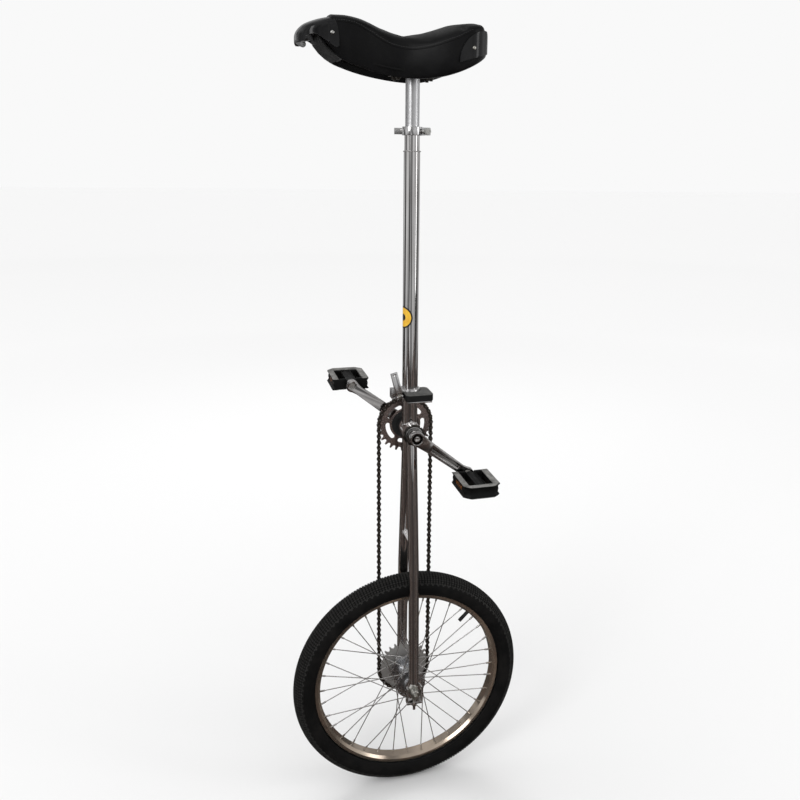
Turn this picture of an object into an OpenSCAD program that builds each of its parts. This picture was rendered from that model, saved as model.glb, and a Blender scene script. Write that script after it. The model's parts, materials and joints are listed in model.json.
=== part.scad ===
// Tall chain-driven unicycle with a twenty-inch wheel.
// Origin: tyre contact point on the ground. +Z up, forward -X, rider's right (chain side) +Y.

/* [Wheel] */
// Diameter across the tyre bead seats of the rim
bead_d = 406; // [340:1:500]
// Height of the tyre above the bead seat
tyre_h = 51; // [43:0.5:60]
// Width of the tyre
tyre_w = 54; // [46:0.5:64]
// Wall of the tyre casing
tyre_wall = 3.4; // [2.5:0.1:4.5]
// Width of the rim across its flanges
rim_w = 31; // [28:0.5:36]
// Number of spokes
spoke_count = 36; // [28:4:40]
// Diameter of a spoke
spoke_d = 2; // [1.6:0.1:2.4]
// Diameter of the hub flanges
flange_d = 66; // [58:1:80]
// Diameter of the wheel axle
axle_d = 10; // [9:0.5:12]

/* [Drive] */
// Teeth on the chainring and on the wheel sprocket
teeth = 28; // [24:4:32]
// Links in the chain
chain_links = 120; // [100:2:144]
// Distance of the chain from the middle plane
chainline = 40; // [39:0.5:41]
// Crank length between centres
crank_l = 140; // [117:1:170]
// Angle of the left crank below the rearward level
crank_angle = 38; // [20:1:50]
// Diameter of the crank boss
boss_d = 31; // [28:0.5:34]
// Width of a pedal along the crank axle
pedal_w = 88; // [78:1:105]
// Length of a pedal front to back
pedal_l = 70; // [60:1:84]
// Thickness of a pedal over both treads
pedal_t = 27; // [25:0.5:32]

/* [Frame] */
// Outside diameter of the main tube
main_d = 31.8; // [30:0.1:38]
// Main tube from the crank axle to its top
main_len = 564; // [450:1:680]
// Outside diameter of the sleeve in the top of the main tube
sleeve_d = 29.6; // [29.2:0.1:29.8]
// Length of the sleeve above the main tube
sleeve_show = 44; // [40:1:60]
// Outside diameter of a fork leg
leg_d = 22.2; // [19:0.1:24]
// Wall of the frame tubes
tube_wall = 1.6; // [1.2:0.1:2.2]
// Gap between the tyre and a fork leg
leg_clear = 9; // [6:0.5:14]
// Outside diameter of the crank bearing shell
shell_d = 40; // [39:0.5:46]
// Length of the crank bearing shell
shell_l = 68; // [66:1:73]
// Half the distance between the dropouts
dropout_half = 52; // [51:0.5:56]

/* [Seat] */
// Diameter of the seat post
post_d = 27.2; // [26.8:0.1:27.6]
// Length of the seat post
post_len = 282; // [235:1:330]
// Height of the saddle plate above the top of the main tube
plate_rise = 136; // [120:1:160]
// Half width of the saddle at the rear
saddle_rear_w = 95; // [80:1:110]
// Half width of the saddle at its waist
saddle_waist_w = 52; // [46:1:62]
// Half width of the saddle at the front
saddle_front_w = 60; // [50:1:68]

/* [Step] */
// Height of the step clamp above the crank axle
step_rise = 69; // [62:1:120]
// Front-to-back length of the step block
step_l = 57; // [50:1:68]
// Height of the step block
step_t = 15; // [12:1:18]

/* [Hidden] */
$fn = 72;

pitch = 12.7;          // chain pitch
weld_gap = 0.1;        // root gap left at welded joints
run_fit = 0.06;        // radial clearance of a running fit
ball_r = 3.175;        // quarter-inch bearing balls
ball_fit = 0.07;       // clearance of a ball to its races

// wheel
wheel_r = bead_d / 2 + tyre_h;
axle_z = wheel_r;
axle_r = axle_d / 2;
tyre_c = wheel_r - tyre_w / 2;             // radius of the middle of the tyre section
rim_lip = 6;                               // flange height above the bead seat
rim_wall = 1.7;
rim_depth = 5.6;                           // bead seat down to the inner face
rim_in = bead_d / 2 - rim_depth;           // radius of the inner face of the rim
rim_floor_w = 20;                          // width of the inner face of the rim
hole_side = 2.4;                           // spoke holes either side of the rim's middle
tube_gap = 0.4;                             // inner tube to casing
tube_r = tyre_w / 2 - tyre_wall;            // inner tube section radius, before the gap
tube_c = max(tyre_c + 0.4, bead_d / 2 + tube_r + 1.2);
spoke_r = spoke_d / 2;
spoke_circle = flange_d / 2 - 4;
flange_t = 3;
flange_left = -29;
flange_right = 24;
per_side = spoke_count / 2;
cross = 60;                                // hub hole to rim hole angle of a crossed spoke
valve_angle = 360 / spoke_count * 4.5;

// drive
pitch_r = pitch / 2 / sin(180 / teeth);
centre_dist = (chain_links - teeth) * pitch / 2;
bb_z = axle_z + centre_dist;
sprocket_t = 3;
ring_in = chainline - sprocket_t / 2;
ring_out = chainline + sprocket_t / 2;
shell_half = shell_l / 2;
shell_in = 17.4;
ball_ring = 12;                            // ball circle of the crank bearing
bb_ball_y = shell_half - 4.4;
boss_in = ring_out + 0.1;                  // inner end of the crank boss
boss_out = boss_in + 23;
arm_in = boss_out - 14;
arm_out = boss_out - 1;
taper = 12.7;                              // square of the spindle end
eye_r = 13;
eye_bore = 7.15;
pedal_in = arm_out + 5;
pedal_out = pedal_in + pedal_w;

// frame
main_top = bb_z + main_len;
sleeve_in = 76;                            // sleeve length inside the main tube
sleeve_top = main_top + sleeve_show;
leg_r = leg_d / 2;
leg_top_y = 16.5;
leg_mid_y = tyre_w / 2 + leg_clear + leg_r;
leg_mid_z = 2 * wheel_r + 12;
drop_t = 5;
leg_low_y = dropout_half + drop_t / 2;
leg_low_z = axle_z + 22;
bridge_z = leg_mid_z + 71;
drop_w = 34;
flange_out = dropout_half + drop_t + 10;
drop_low = axle_z - 25;
eye_y = dropout_half + drop_t + 1.7 + 2.4;  // middle of the tensioner eye
axle_end = eye_y + 19;
pilot_l = 4;                                // plain pilot turned on each end of the axle
pilot_step = 0.8;
hub_ball_y = 38;
hub_ball_ring = 10.75;
cone_r = hub_ball_ring - ball_r - ball_fit;
hub_cup_r = hub_ball_ring + ball_r + ball_fit;

// seat
post_r = post_d / 2;
plate_z = main_top + plate_rise;           // underside of the saddle plate
clamp_h = 16;
clamp_z = sleeve_top - clamp_h + 1;
clamp_r = sleeve_d / 2 + 4.6;
qr_x = 27;
qr_y = 21.5;
saddle_z = plate_z - 8;                    // lowest edge of the saddle skirt
skin = 3;

// step
step_z = bb_z + step_rise;
step_bore = main_d / 2;
step_ring = step_bore + 4.4;
step_far = 12;
step_near = -45;
step_front = -18;
step_qr_x = -27.5;
step_qr_z = step_z + 11;
step_qr_y = -22;
step_tilt = 14;

// ---------- shapes used by several pieces ----------
module ycyl(r, y0, y1) { translate([0, y0, 0]) rotate([-90, 0, 0]) cylinder(r = r, h = y1 - y0); }
module yturn() { rotate([-90, 0, 0]) rotate_extrude() children(); }
module side_cut(y0, y1) { translate([0, y1, 0]) rotate([90, 0, 0]) linear_extrude(y1 - y0) children(); }
module box(lo, hi) { translate(lo) cube(hi - lo); }
module rod(p, q, r) {
    v = q - p;
    translate(p) rotate([0, acos(v.z / norm(v)), atan2(v.y, v.x)]) cylinder(r = r, h = norm(v));
}
module yhex(flats, y0, y1) {
    translate([0, y0, 0]) rotate([-90, 30, 0]) cylinder(r = flats / sqrt(3), h = y1 - y0, $fn = 6);
}
module both_sides() {
    children();
    mirror([0, 1, 0]) children();
}
module at_axle() { translate([0, 0, axle_z]) children(); }
module at_cranks() { translate([0, 0, bb_z]) children(); }

// ---------- frame ----------
module main_tube() {
    color("silver") difference() {
        translate([0, 0, bb_z]) cylinder(r = main_d / 2, h = main_len);
        translate([0, 0, bb_z - 1]) cylinder(r = sleeve_d / 2 + 0.05, h = main_len + 2);
        at_cranks() ycyl(shell_d / 2 + weld_gap, -shell_half - 1, shell_half + 1);
    }
}

module tube_sleeve() {
    slot_w = 3;
    color("silver") difference() {
        translate([0, 0, main_top - sleeve_in]) cylinder(r = sleeve_d / 2, h = sleeve_in + sleeve_show);
        translate([0, 0, main_top - sleeve_in - 1])
            cylinder(r = post_r + run_fit, h = sleeve_in + sleeve_show + 2);
        box([0, -slot_w / 2, sleeve_top - 30], [sleeve_d, slot_w / 2, sleeve_top + 1]);
    }
}

module bb_shell() {
    color("silver") at_cranks() difference() {
        ycyl(shell_d / 2, -shell_half, shell_half);
        ycyl(shell_in, -shell_half - 1, shell_half + 1);
    }
}

module cup_body(end_y) {
    difference() {
        ycyl(shell_in - 0.05, shell_half - 15, end_y);
        ycyl(ball_ring + ball_r + ball_fit, shell_half - 16, shell_half - 1);
        ycyl(9.6, 0, end_y + 1);
    }
}

module bb_cup_right() {
    color("silver") at_cranks() {
        cup_body(shell_half + 2.8);
        difference() {
            ycyl(shell_d / 2 - 0.5, shell_half + 0.05, shell_half + 2.8);
            ycyl(shell_in - 1, shell_half - 1, shell_half + 3);
        }
    }
}

module bb_cup_left() {
    color("silver") at_cranks() mirror([0, 1, 0]) difference() {
        cup_body(shell_half + 4.6);
        for (i = [0:5]) rotate([0, i * 60, 0]) translate([13.4, 0, 0]) ycyl(1.4, shell_half + 2, shell_half + 5);
    }
}

module bb_lockring() {
    color("dimgray") at_cranks() difference() {
        ycyl(shell_d / 2 + 2, -shell_half - 3.6, -shell_half - 0.05);
        ycyl(shell_in, -shell_half - 4, -shell_half + 1);
        for (i = [0:5]) rotate([0, i * 60 + 12, 0])
            box([shell_d / 2, -shell_half - 4, -2], [shell_d, -shell_half + 1, 2]);
    }
}

module ball_ring_set(count, ring, y) {
    for (i = [0:count - 1]) rotate([0, i * 360 / count, 0]) translate([ring, y, 0]) sphere(r = ball_r, $fn = 24);
}

module bearing_balls() {
    color("lightgray") {
        at_cranks() both_sides() ball_ring_set(11, ball_ring, bb_ball_y);
        at_axle() both_sides() ball_ring_set(9, hub_ball_ring, hub_ball_y);
    }
}

// centre line of a fork leg in the plane of Y and Z, with a slight bend above the tyre
leg_top = [leg_top_y, bb_z - 8];
leg_mid = [leg_mid_y, leg_mid_z];
leg_low = [leg_low_y, leg_low_z];
upper_lean = atan2(leg_mid.x - leg_top.x, leg_top.y - leg_mid.y);
lower_lean = atan2(leg_low.x - leg_mid.x, leg_mid.y - leg_low.y);
bend_lean = (upper_lean + lower_lean) / 2;

// straight run of a leg, cut square to the middle of the bend
module leg_run(from, to, r, z0) {
    intersection() {
        rod([0, from.x, from.y], [0, to.x, to.y], r);
        translate([0, leg_mid.x, leg_mid.y]) rotate([bend_lean, 0, 0])
            translate([-50, -50, z0]) cube([100, 100, 1000]);
    }
}
module leg_path(r, extra) {
    over = 8;
    up = [-sin(upper_lean), cos(upper_lean)];
    down = [sin(lower_lean), -cos(lower_lean)];
    leg_run(leg_mid - over * up, leg_top + extra * up, r, 0);
    leg_run(leg_low + extra * down, leg_mid - over * down, r, -1000);
}

module leg() {
    difference() {
        leg_path(leg_r, 0);
        leg_path(leg_r - tube_wall, 2);
        at_cranks() ycyl(shell_d / 2 + weld_gap, -shell_half, shell_half);
        box([-leg_r - 1, dropout_half - weld_gap, leg_low_z - 5],
            [leg_r + 1, dropout_half + drop_t + weld_gap, axle_z + 46]);
    }
}

module leg_left() { color("silver") mirror([0, 1, 0]) leg(); }
module leg_right() { color("silver") leg(); }

module leg_bridge() {
    reach = leg_top_y + (leg_top.y - bridge_z) * tan(upper_lean);
    color("silver") difference() {
        translate([0, 0, bridge_z]) ycyl(6.4, -reach, reach);
        translate([0, 0, bridge_z]) ycyl(5, -reach - 1, reach + 1);
        both_sides() leg_path(leg_r + weld_gap, 0);
    }
}

module dropout() {
    plate_top = axle_z + 44;
    shoulder = axle_z + 18;
    half = drop_w / 2;
    difference() {
        union() {
            side_cut(dropout_half, dropout_half + drop_t) polygon([
                [-half, drop_low], [half, drop_low], [half, shoulder], [leg_r - 2, plate_top - 12],
                [leg_r - 2, plate_top], [2 - leg_r, plate_top], [2 - leg_r, plate_top - 12], [-half, shoulder]]);
            box([-half, dropout_half, drop_low], [half, flange_out, drop_low + 4]);
            for (s = [-1, 1]) {
                lo = s < 0 ? -half : half - 3;
                side_cut(dropout_half, flange_out - 2) polygon([
                    [lo, drop_low], [lo + 3, drop_low], [lo + 3, shoulder - 4], [lo, shoulder - 4]]);
            }
        }
        side_cut(dropout_half - 1, dropout_half + drop_t + 1) {
            translate([0, axle_z + 5]) circle(axle_r + 0.25);
            translate([0, axle_z - 6]) circle(axle_r + 0.25);
            translate([-axle_r - 0.25, axle_z - 6]) square([axle_d + 0.5, 11]);
        }
        translate([0, eye_y, drop_low - 1]) cylinder(r = 3.3, h = 6);
    }
}

module dropout_left() { color("silver") mirror([0, 1, 0]) dropout(); }
module dropout_right() { color("silver") dropout(); }

module tensioner() {
    tip = drop_low - 16;
    difference() {
        union() {
            at_axle() ycyl(axle_r + 4.5, eye_y - 2.4, eye_y + 2.4);
            translate([0, eye_y, tip]) cylinder(r = 3, h = axle_z - tip - 11.4);
            translate([0, eye_y, tip + 10]) cylinder(r = 2.3, h = axle_z - tip - 10 - axle_r - 2);
        }
        at_axle() ycyl(axle_r + 0.2, eye_y - 3, eye_y + 3);
    }
}

module tensioner_bolts() { color("lightgray") both_sides() tensioner(); }

module tensioner_nuts() {
    color("lightgray") both_sides() translate([0, eye_y, drop_low - 6]) difference() {
        cylinder(r = 10 / sqrt(3), h = 5.8, $fn = 6);
        translate([0, 0, -1]) cylinder(r = 3.1, h = 8);
    }
}

// ---------- wheel axle set, fixed in the dropouts ----------
module axle() {
    color("lightgray") at_axle() {
        ycyl(axle_r, -axle_end + pilot_l, axle_end - pilot_l);
        ycyl(axle_r - pilot_step, -axle_end, axle_end);
    }
}

module axle_cones() {
    color("gray") at_axle() both_sides() difference() {
        union() {
            ycyl(cone_r, hub_ball_y - 3.3, hub_ball_y + 6);
            ycyl(8.2, hub_ball_y + 4.2, hub_ball_y + 8);
        }
        ycyl(axle_r + 0.1, 0, 60);
    }
}

module axle_nut(y0, y1) {
    difference() {
        yhex(17, y0, y1);
        ycyl(axle_r + 0.1, y0 - 1, y1 + 1);
    }
}

module axle_nuts() {
    color("lightgray") at_axle() both_sides() {
        axle_nut(hub_ball_y + 8.2, dropout_half - 0.1);
        axle_nut(eye_y + 2.6, eye_y + 11);
    }
}

module axle_washers() {
    color("silver") at_axle() both_sides() difference() {
        ycyl(11, dropout_half + drop_t + 0.1, eye_y - 2.5);
        ycyl(axle_r + 0.2, dropout_half, eye_y);
    }
}

// ---------- seat clamp and quick releases ----------
module seat_clamp() {
    color("silver") translate([0, 0, clamp_z]) difference() {
        union() {
            cylinder(r = clamp_r, h = clamp_h);
            box([clamp_r - 4, -9, 1], [qr_x + 7, 9, clamp_h - 1]);
        }
        translate([0, 0, -1]) cylinder(r = sleeve_d / 2 + 0.1, h = clamp_h);
        cylinder(r = post_r + 0.4, h = clamp_h + 1);
        box([0, -1.5, -1], [qr_x + 8, 1.5, clamp_h + 1]);
        translate([qr_x, 0, clamp_h / 2]) ycyl(3.3, -10, 10);
    }
}

// rod along Y with the cam pin across its +Y end
module qr_bolt(reach) {
    ycyl(3, -17, reach);
    translate([0, reach, -7]) cylinder(r = 3.5, h = 14);
}
module qr_nut() {
    difference() {
        union() {
            ycyl(6.2, -16, -9.1);
            ycyl(5, -17.5, -15.9);
        }
        ycyl(3.1, -18.5, -9);
    }
}
module qr_washer(reach) {
    difference() {
        ycyl(6.5, 9.1, reach - 7);
        ycyl(3.2, 9, reach);
    }
}
// lever with two cheeks on the cam pin; it points along -X when closed
module qr_lever(length, width, top_hole) {
    cheek = (width - 7) / 2;
    difference() {
        union() {
            for (z0 = [-width / 2, width / 2 - cheek]) translate([0, 0, z0]) cylinder(r = 6.6, h = cheek);
            box([-length, 1, -width / 2], [-8, 6, width / 2]);
            for (z0 = [-width / 2, width / 2 - cheek])
                box([-14, -3, z0], [-3, 6, z0 + cheek]);
        }
        translate([0, 0, -width]) cylinder(r = 3.5 + run_fit, h = 2 * width);
        if (top_hole) translate([6 - length, 0, 0]) ycyl(2.2, 0, 7);
    }
}
module at_seat_qr() { translate([qr_x, 0, clamp_z + clamp_h / 2]) children(); }
// the step's quick release lies on the left, with its lever pointing up
module at_step_qr() {
    translate([step_qr_x, 0, step_qr_z]) rotate([0, -step_tilt, 0]) mirror([0, 1, 0]) rotate([0, 90, 0]) children();
}

module qr_bolts() {
    color("lightgray") {
        at_seat_qr() qr_bolt(qr_y);
        at_step_qr() qr_bolt(-step_qr_y);
    }
}
module qr_nuts() {
    color("lightgray") {
        at_seat_qr() qr_nut();
        at_step_qr() qr_nut();
    }
}
module qr_washers() {
    color("silver") {
        at_seat_qr() qr_washer(qr_y);
        at_step_qr() qr_washer(-step_qr_y);
    }
}
module seat_clamp_lever() {
    color("silver") at_seat_qr() translate([0, qr_y, 0]) qr_lever(56, 12, false);
}
module step_lever() {
    color("silver") at_step_qr() translate([0, -step_qr_y, 0]) qr_lever(52, 14, true);
}

// ---------- chain ----------
// pin i of the closed chain, in X and height above the wheel axle; it runs up the rear side
half_teeth = teeth / 2;
run_links = (chain_links - teeth) / 2;
function on_ring(k, z0) = [pitch_r * cos(360 * k / teeth), z0 + pitch_r * sin(360 * k / teeth)];
function chain_pin(i) =
    i < run_links ? [pitch_r, i * pitch] :
    i < run_links + half_teeth ? on_ring(i - run_links, centre_dist) :
    i < 2 * run_links + half_teeth ? [-pitch_r, centre_dist - (i - run_links - half_teeth) * pitch] :
    on_ring(i - 2 * run_links, 0);

module at_link(i) {
    a = chain_pin(i);
    b = chain_pin((i + 1) % chain_links);
    translate([a.x, chainline, axle_z + a.y]) rotate([0, -atan2(b.y - a.y, b.x - a.x), 0]) children();
}
module link_plate(y0, y1) {
    ycyl(4.2, y0, y1);
    translate([pitch, 0, 0]) ycyl(4.2, y0, y1);
    box([0, y0, -2.9], [pitch, y1, 2.9]);
}
module chain_outer_links() {
    color("dimgray") for (i = [0:2:chain_links - 2]) at_link(i) {
        both_sides() link_plate(3, 4);
        for (x = [0, pitch]) translate([x, 0, 0]) ycyl(1.8, -4.8, 4.8);
    }
}
module chain_inner_links() {
    color("gray") for (i = [1:2:chain_links - 1]) at_link(i) difference() {
        union() {
            both_sides() link_plate(1.75, 2.75);
            for (x = [0, pitch]) translate([x, 0, 0]) ycyl(3.85, -1.8, 1.8);
        }
        for (x = [0, pitch]) translate([x, 0, 0]) ycyl(1.88, -4, 4);
    }
}

// toothed outline shared by the chainring and the wheel sprocket
module tooth_outline() {
    tip_r = pitch_r + 4.1;
    difference() {
        circle(tip_r, $fn = 120);
        for (i = [0:teeth - 1]) rotate(i * 360 / teeth) {
            translate([pitch_r, 0]) circle(4, $fn = 24);
            polygon([[pitch_r, -4], [tip_r + 1, -6], [tip_r + 1, 6], [pitch_r, 4]]);
        }
    }
}

// ---------- step above the cranks ----------
module step_clamp() {
    ring_h = 22;
    color("silver") translate([0, 0, step_z]) difference() {
        union() {
            cylinder(r = step_ring, h = ring_h);
            box([step_front + 3, step_near + 3, 0], [step_front + step_l - 3, step_far - 3, 3]);
            box([step_qr_x - 13, -9, 3], [-step_ring + 4, 9, ring_h]);
        }
        translate([0, 0, -1]) cylinder(r = step_bore + 0.1, h = ring_h + 2);
        box([-46, -1.5, -1], [0, 1.5, ring_h + 1]);
        translate([step_qr_x, 0, step_qr_z - step_z]) ycyl(3.3, -10, 10);
        translate([step_qr_x - 9, 0, 6]) ycyl(1.6, -10, 10);
    }
}

module step_block() {
    corner = 9;
    lo = [step_front, step_near];
    hi = [step_front + step_l, step_far];
    groove = 1.2;
    color("dimgray") translate([0, 0, step_z + 3.3]) difference() {
        linear_extrude(step_t) {
            translate([lo.x + corner, lo.y]) square([hi.x - lo.x - 2 * corner, hi.y - lo.y]);
            translate([lo.x, lo.y + corner]) square([hi.x - lo.x, hi.y - lo.y - 2 * corner]);
            for (x = [lo.x + corner, hi.x - corner]) for (y = [lo.y + corner, hi.y - corner])
                translate([x, y]) circle(corner);
        }
        translate([0, 0, -1]) cylinder(r = step_ring + 0.4, h = step_t + 2);
        translate([-60, -10, -1]) cube([60, 20, step_t + 2]);
        for (y = [lo.y + 5:5:-24]) translate([lo.x + 5, y, step_t - groove])
            cube([hi.x - lo.x - 10, 1.6, groove + 1]);
    }
}

// ---------- wheel ----------
bead_w = 3.4;                               // thickness of a tyre bead
lip_r = bead_d / 2 + rim_lip + 0.5;         // where the casing clears the rim's lip
bead_out = rim_w / 2 - rim_wall - 0.4;      // outer face of a bead, just inside the lip
module tyre() {
    bead_r = bead_d / 2 + 0.4;
    color([0.08, 0.08, 0.08]) at_axle() yturn() difference() {
        union() {
            difference() {
                translate([tyre_c, 0]) circle(tyre_w / 2, $fn = 96);
                translate([0, -tyre_w]) square([lip_r, 2 * tyre_w]);
            }
            translate([bead_r, -bead_out]) square([tyre_c - bead_r, 2 * bead_out]);
        }
        air_space(tyre_c, tyre_w / 2 - tyre_wall, 0);
        translate([0, bead_w - bead_out]) square([tyre_c, 2 * (bead_out - bead_w)]);
        for (y = [-9, -3, 3, 9]) translate([wheel_r - 2.4, y - 0.7]) square([4, 1.4]);
    }
}
// room inside the casing, above the shoulders that pass over the rim's lips
module air_space(centre, radius, inset) {
    intersection() {
        translate([centre, 0]) circle(radius - inset, $fn = 96);
        translate([lip_r + tyre_wall + inset, -tyre_w]) square(2 * tyre_w);
    }
}
module tube_section(inset) {
    radius = tube_r - (tube_c - tyre_c);
    half = bead_out - bead_w - tube_gap - inset;
    air_space(tube_c, radius, tube_gap + inset);
    intersection() {
        translate([tube_c, 0]) circle(radius - tube_gap - inset, $fn = 96);
        translate([0, -half]) square([tyre_c, 2 * half]);
    }
}
module inner_tube() {
    color([0.12, 0.12, 0.12]) at_axle() yturn() difference() {
        tube_section(0);
        tube_section(1);
    }
}

function spoke_turn(k, side) = (k + (side > 0 ? 0.5 : 0)) * 360 / per_side;
function spoke_rim_turn(k, side) = spoke_turn(k, side) + (k % 2 == 0 ? cross : -cross);
function spoke_head(k, side) = k % 2 == 0 ? 1 : -1;
function polar(r, a, y) = [r * cos(a), y, r * sin(a)];
// spokes on the outer face of a flange stand clear of its edge as they lean inwards
function spoke_off(k, side) = flange_t / 2 + spoke_r + (spoke_head(k, side) == side ? 1.5 : 0.1);
function spoke_start(k, side) = polar(spoke_circle, spoke_turn(k, side),
    (side > 0 ? flange_right : flange_left) + spoke_head(k, side) * spoke_off(k, side));
function spoke_end(k, side) = polar(rim_in - 9, spoke_rim_turn(k, side), side * hole_side);
function nipple_seat(k, side) = spoke_end(k, side)
    + 9.6 * (spoke_end(k, side) - spoke_start(k, side)) / norm(spoke_end(k, side) - spoke_start(k, side));

module rim() {
    h = rim_w / 2;
    seat = bead_d / 2;
    well = 8.4;
    floor_h = rim_floor_w / 2;
    color("silver") at_axle() difference() {
        yturn() polygon([
            [rim_in, -floor_h], [seat - 1, -h], [seat + rim_lip, -h], [seat + rim_lip, rim_wall - h],
            [seat, rim_wall - h], [seat, -well - 1], [rim_in + rim_wall, -well], [rim_in + rim_wall, well],
            [seat, well + 1], [seat, h - rim_wall], [seat + rim_lip, h - rim_wall],
            [seat + rim_lip, h], [seat - 1, h], [rim_in, floor_h]]);
        for (side = [-1, 1]) for (k = [0:per_side - 1])
            rod(spoke_end(k, side), spoke_end(k, side) + 16 * (nipple_seat(k, side) - spoke_end(k, side)) / 9.6, 2.3);
        rod(polar(rim_in - 2, valve_angle, 0), polar(rim_in + 8, valve_angle, 0), 4.3);
    }
}

module rim_tape() {
    color("white") at_axle() difference() {
        yturn() translate([bead_d / 2 - 1.2, -8.2]) square([0.9, 16.4]);
        rod(polar(rim_in - 2, valve_angle, 0), polar(rim_in + 10, valve_angle, 0), 4.3);
    }
}

module valve_stem() {
    color([0.1, 0.1, 0.1]) at_axle() difference() {
        union() {
            rod(polar(rim_in - 16, valve_angle, 0), polar(rim_in + 6.4, valve_angle, 0), 4);
            rod(polar(rim_in - 26, valve_angle, 0), polar(rim_in - 15, valve_angle, 0), 2.6);
        }
        rod(polar(rim_in - 30, valve_angle, 0), polar(rim_in + 8, valve_angle, 0), 1.2);
    }
}

module valve_cap() {
    color([0.05, 0.05, 0.05]) at_axle() difference() {
        rod(polar(rim_in - 28.5, valve_angle, 0), polar(rim_in - 16.3, valve_angle, 0), 4.1);
        rod(polar(rim_in - 27, valve_angle, 0), polar(rim_in - 16, valve_angle, 0), 2.8);
    }
}

module spokes(side) {
    flange = side > 0 ? flange_right : flange_left;
    elbow = spoke_r * 1.1;
    head_t = 1.4;
    color("silver") at_axle() for (k = [0:per_side - 1]) {
        s = spoke_head(k, side);
        start = spoke_start(k, side);
        near = start.y + s * spoke_r * 0.7;
        far = flange - s * (flange_t / 2 + 0.1);
        rod(start, spoke_end(k, side), spoke_r);
        translate([start.x, 0, start.z]) {
            ycyl(elbow, min(near, far), max(near, far));
            ycyl(spoke_r * 1.9, far - (s > 0 ? head_t : 0), far + (s > 0 ? 0 : head_t));
        }
    }
}
module spokes_left() { spokes(-1); }
module spokes_right() { spokes(1); }

module nipples() {
    color("silver") at_axle() for (side = [-1, 1]) for (k = [0:per_side - 1]) {
        a = spoke_end(k, side);
        dir = (a - spoke_start(k, side)) / norm(a - spoke_start(k, side));
        difference() {
            union() {
                rod(a - 2 * dir, a + 11.9 * dir, 1.9);
                rod(a + 11.7 * dir, a + 12.9 * dir, 3);
            }
            rod(a - 3 * dir, a + 0.3 * dir, spoke_r + 0.08);
        }
    }
}

module hub_shell() {
    body_r = 17;
    left_end = hub_ball_y + 5;
    right_end = hub_ball_y + 6;
    color("silver") at_axle() difference() {
        union() {
            ycyl(body_r, -left_end, flange_right + 4);
            ycyl(17.35, flange_right, right_end);
            ycyl(21, flange_right, ring_in - 0.1);
            for (y = [flange_left, flange_right]) ycyl(flange_d / 2, y - flange_t / 2, y + flange_t / 2);
        }
        ycyl(axle_r + 2, -60, 60);
        both_sides() ycyl(hub_cup_r, hub_ball_y - 3.6, hub_ball_y + 8);
        for (k = [0:per_side - 1]) {
            for (side = [-1, 1]) {
                turn = spoke_turn(k, side);
                mid = side > 0 ? flange_right : flange_left;
                translate([spoke_circle * cos(turn), 0, spoke_circle * sin(turn)])
                    ycyl(spoke_r * 1.1 + 0.1, mid - 3, mid + 3);
            }
        }
    }
}

module wheel_sprocket() {
    color("gray") at_axle() difference() {
        side_cut(ring_in, ring_out) tooth_outline();
        ycyl(17.45, ring_in - 1, ring_out + 1);
    }
}

module sprocket_lockring() {
    color("dimgray") at_axle() difference() {
        ycyl(21, ring_out + 0.1, ring_out + 2.4);
        ycyl(17.45, ring_out, ring_out + 5);
        for (i = [0:3]) rotate([0, i * 90, 0]) box([19, ring_out - 1, -2.5], [24, ring_out + 5, 2.5]);
    }
}

// ---------- cranks ----------
module crank_spindle() {
    seat = ball_ring - ball_r - ball_fit;
    color("gray") at_cranks() {
        ycyl(seat, -boss_in + 1, boss_in - 1);
        ycyl(seat + 2.2, -bb_ball_y + ball_r + 0.1, bb_ball_y - ball_r - 0.1);
        rotate([0, crank_angle, 0]) for (s = [-1, 1]) {
            y0 = s > 0 ? boss_in - 2 : -boss_out + 7;
            box([-taper / 2, y0, -taper / 2], [taper / 2, y0 + boss_out - boss_in - 5, taper / 2]);
        }
    }
}

module chainring() {
    slot_mid = 38;
    slot_half = 4.6;
    slot_turn = 22;                         // half the angle a slot spans
    color("silver") at_cranks() difference() {
        side_cut(ring_in, ring_out) tooth_outline();
        ycyl(16.1, ring_in - 1, ring_out + 1);
        for (i = [0:4]) rotate([0, i * 72 + 14, 0]) {
            for (a = [-slot_turn, slot_turn]) rotate([0, a, 0]) translate([slot_mid, 0, 0])
                ycyl(slot_half - 0.1, ring_in - 1, ring_out + 1);
            side_cut(ring_in - 1, ring_out + 1) intersection() {
                difference() {
                    circle(slot_mid + slot_half);
                    circle(slot_mid - slot_half);
                }
                polygon([[0, 0], [100, -100 * tan(slot_turn)], [100, 100 * tan(slot_turn)]]);
            }
        }
    }
}

module chainring_disc() {
    color([0.07, 0.07, 0.07]) at_cranks() difference() {
        ycyl(29, shell_half + 3.1, ring_in - 0.1);
        ycyl(10.2, shell_half, ring_in + 1);
    }
}

// outline of a crank arm, from the spindle to the pedal eye along +X
module arm_outline() {
    circle(boss_d / 2);
    translate([crank_l, 0]) circle(eye_r);
    polygon([[0, -boss_d / 2 + 1.5], [34, -11.2], [crank_l - 18, -9], [crank_l, -eye_r + 0.8],
        [crank_l, eye_r - 0.8], [crank_l - 18, 9], [34, 11.2], [0, boss_d / 2 - 1.5]]);
}
module crank_arm() {
    difference() {
        union() {
            ycyl(boss_d / 2, boss_in, boss_out);
            side_cut(arm_in, arm_out) arm_outline();
        }
        box([-taper / 2 - 0.05, 0, -taper / 2 - 0.05], [taper / 2 + 0.05, boss_out, taper / 2 + 0.05]);
        ycyl(11, boss_out - 7, boss_out + 1);
        translate([crank_l, 0, 0]) ycyl(eye_bore, arm_in - 1, arm_out + 1);
        // shallow fluting of the outer face
        translate([0, arm_out - 2, 0]) side_cut(0, 3)
            polygon([[40, -5.5], [crank_l - 28, -4.2], [crank_l - 28, 4.2], [40, 5.5]]);
    }
}
module crank_left() {
    color("silver") at_cranks() rotate([0, crank_angle, 0]) mirror([0, 1, 0]) crank_arm();
}
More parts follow.
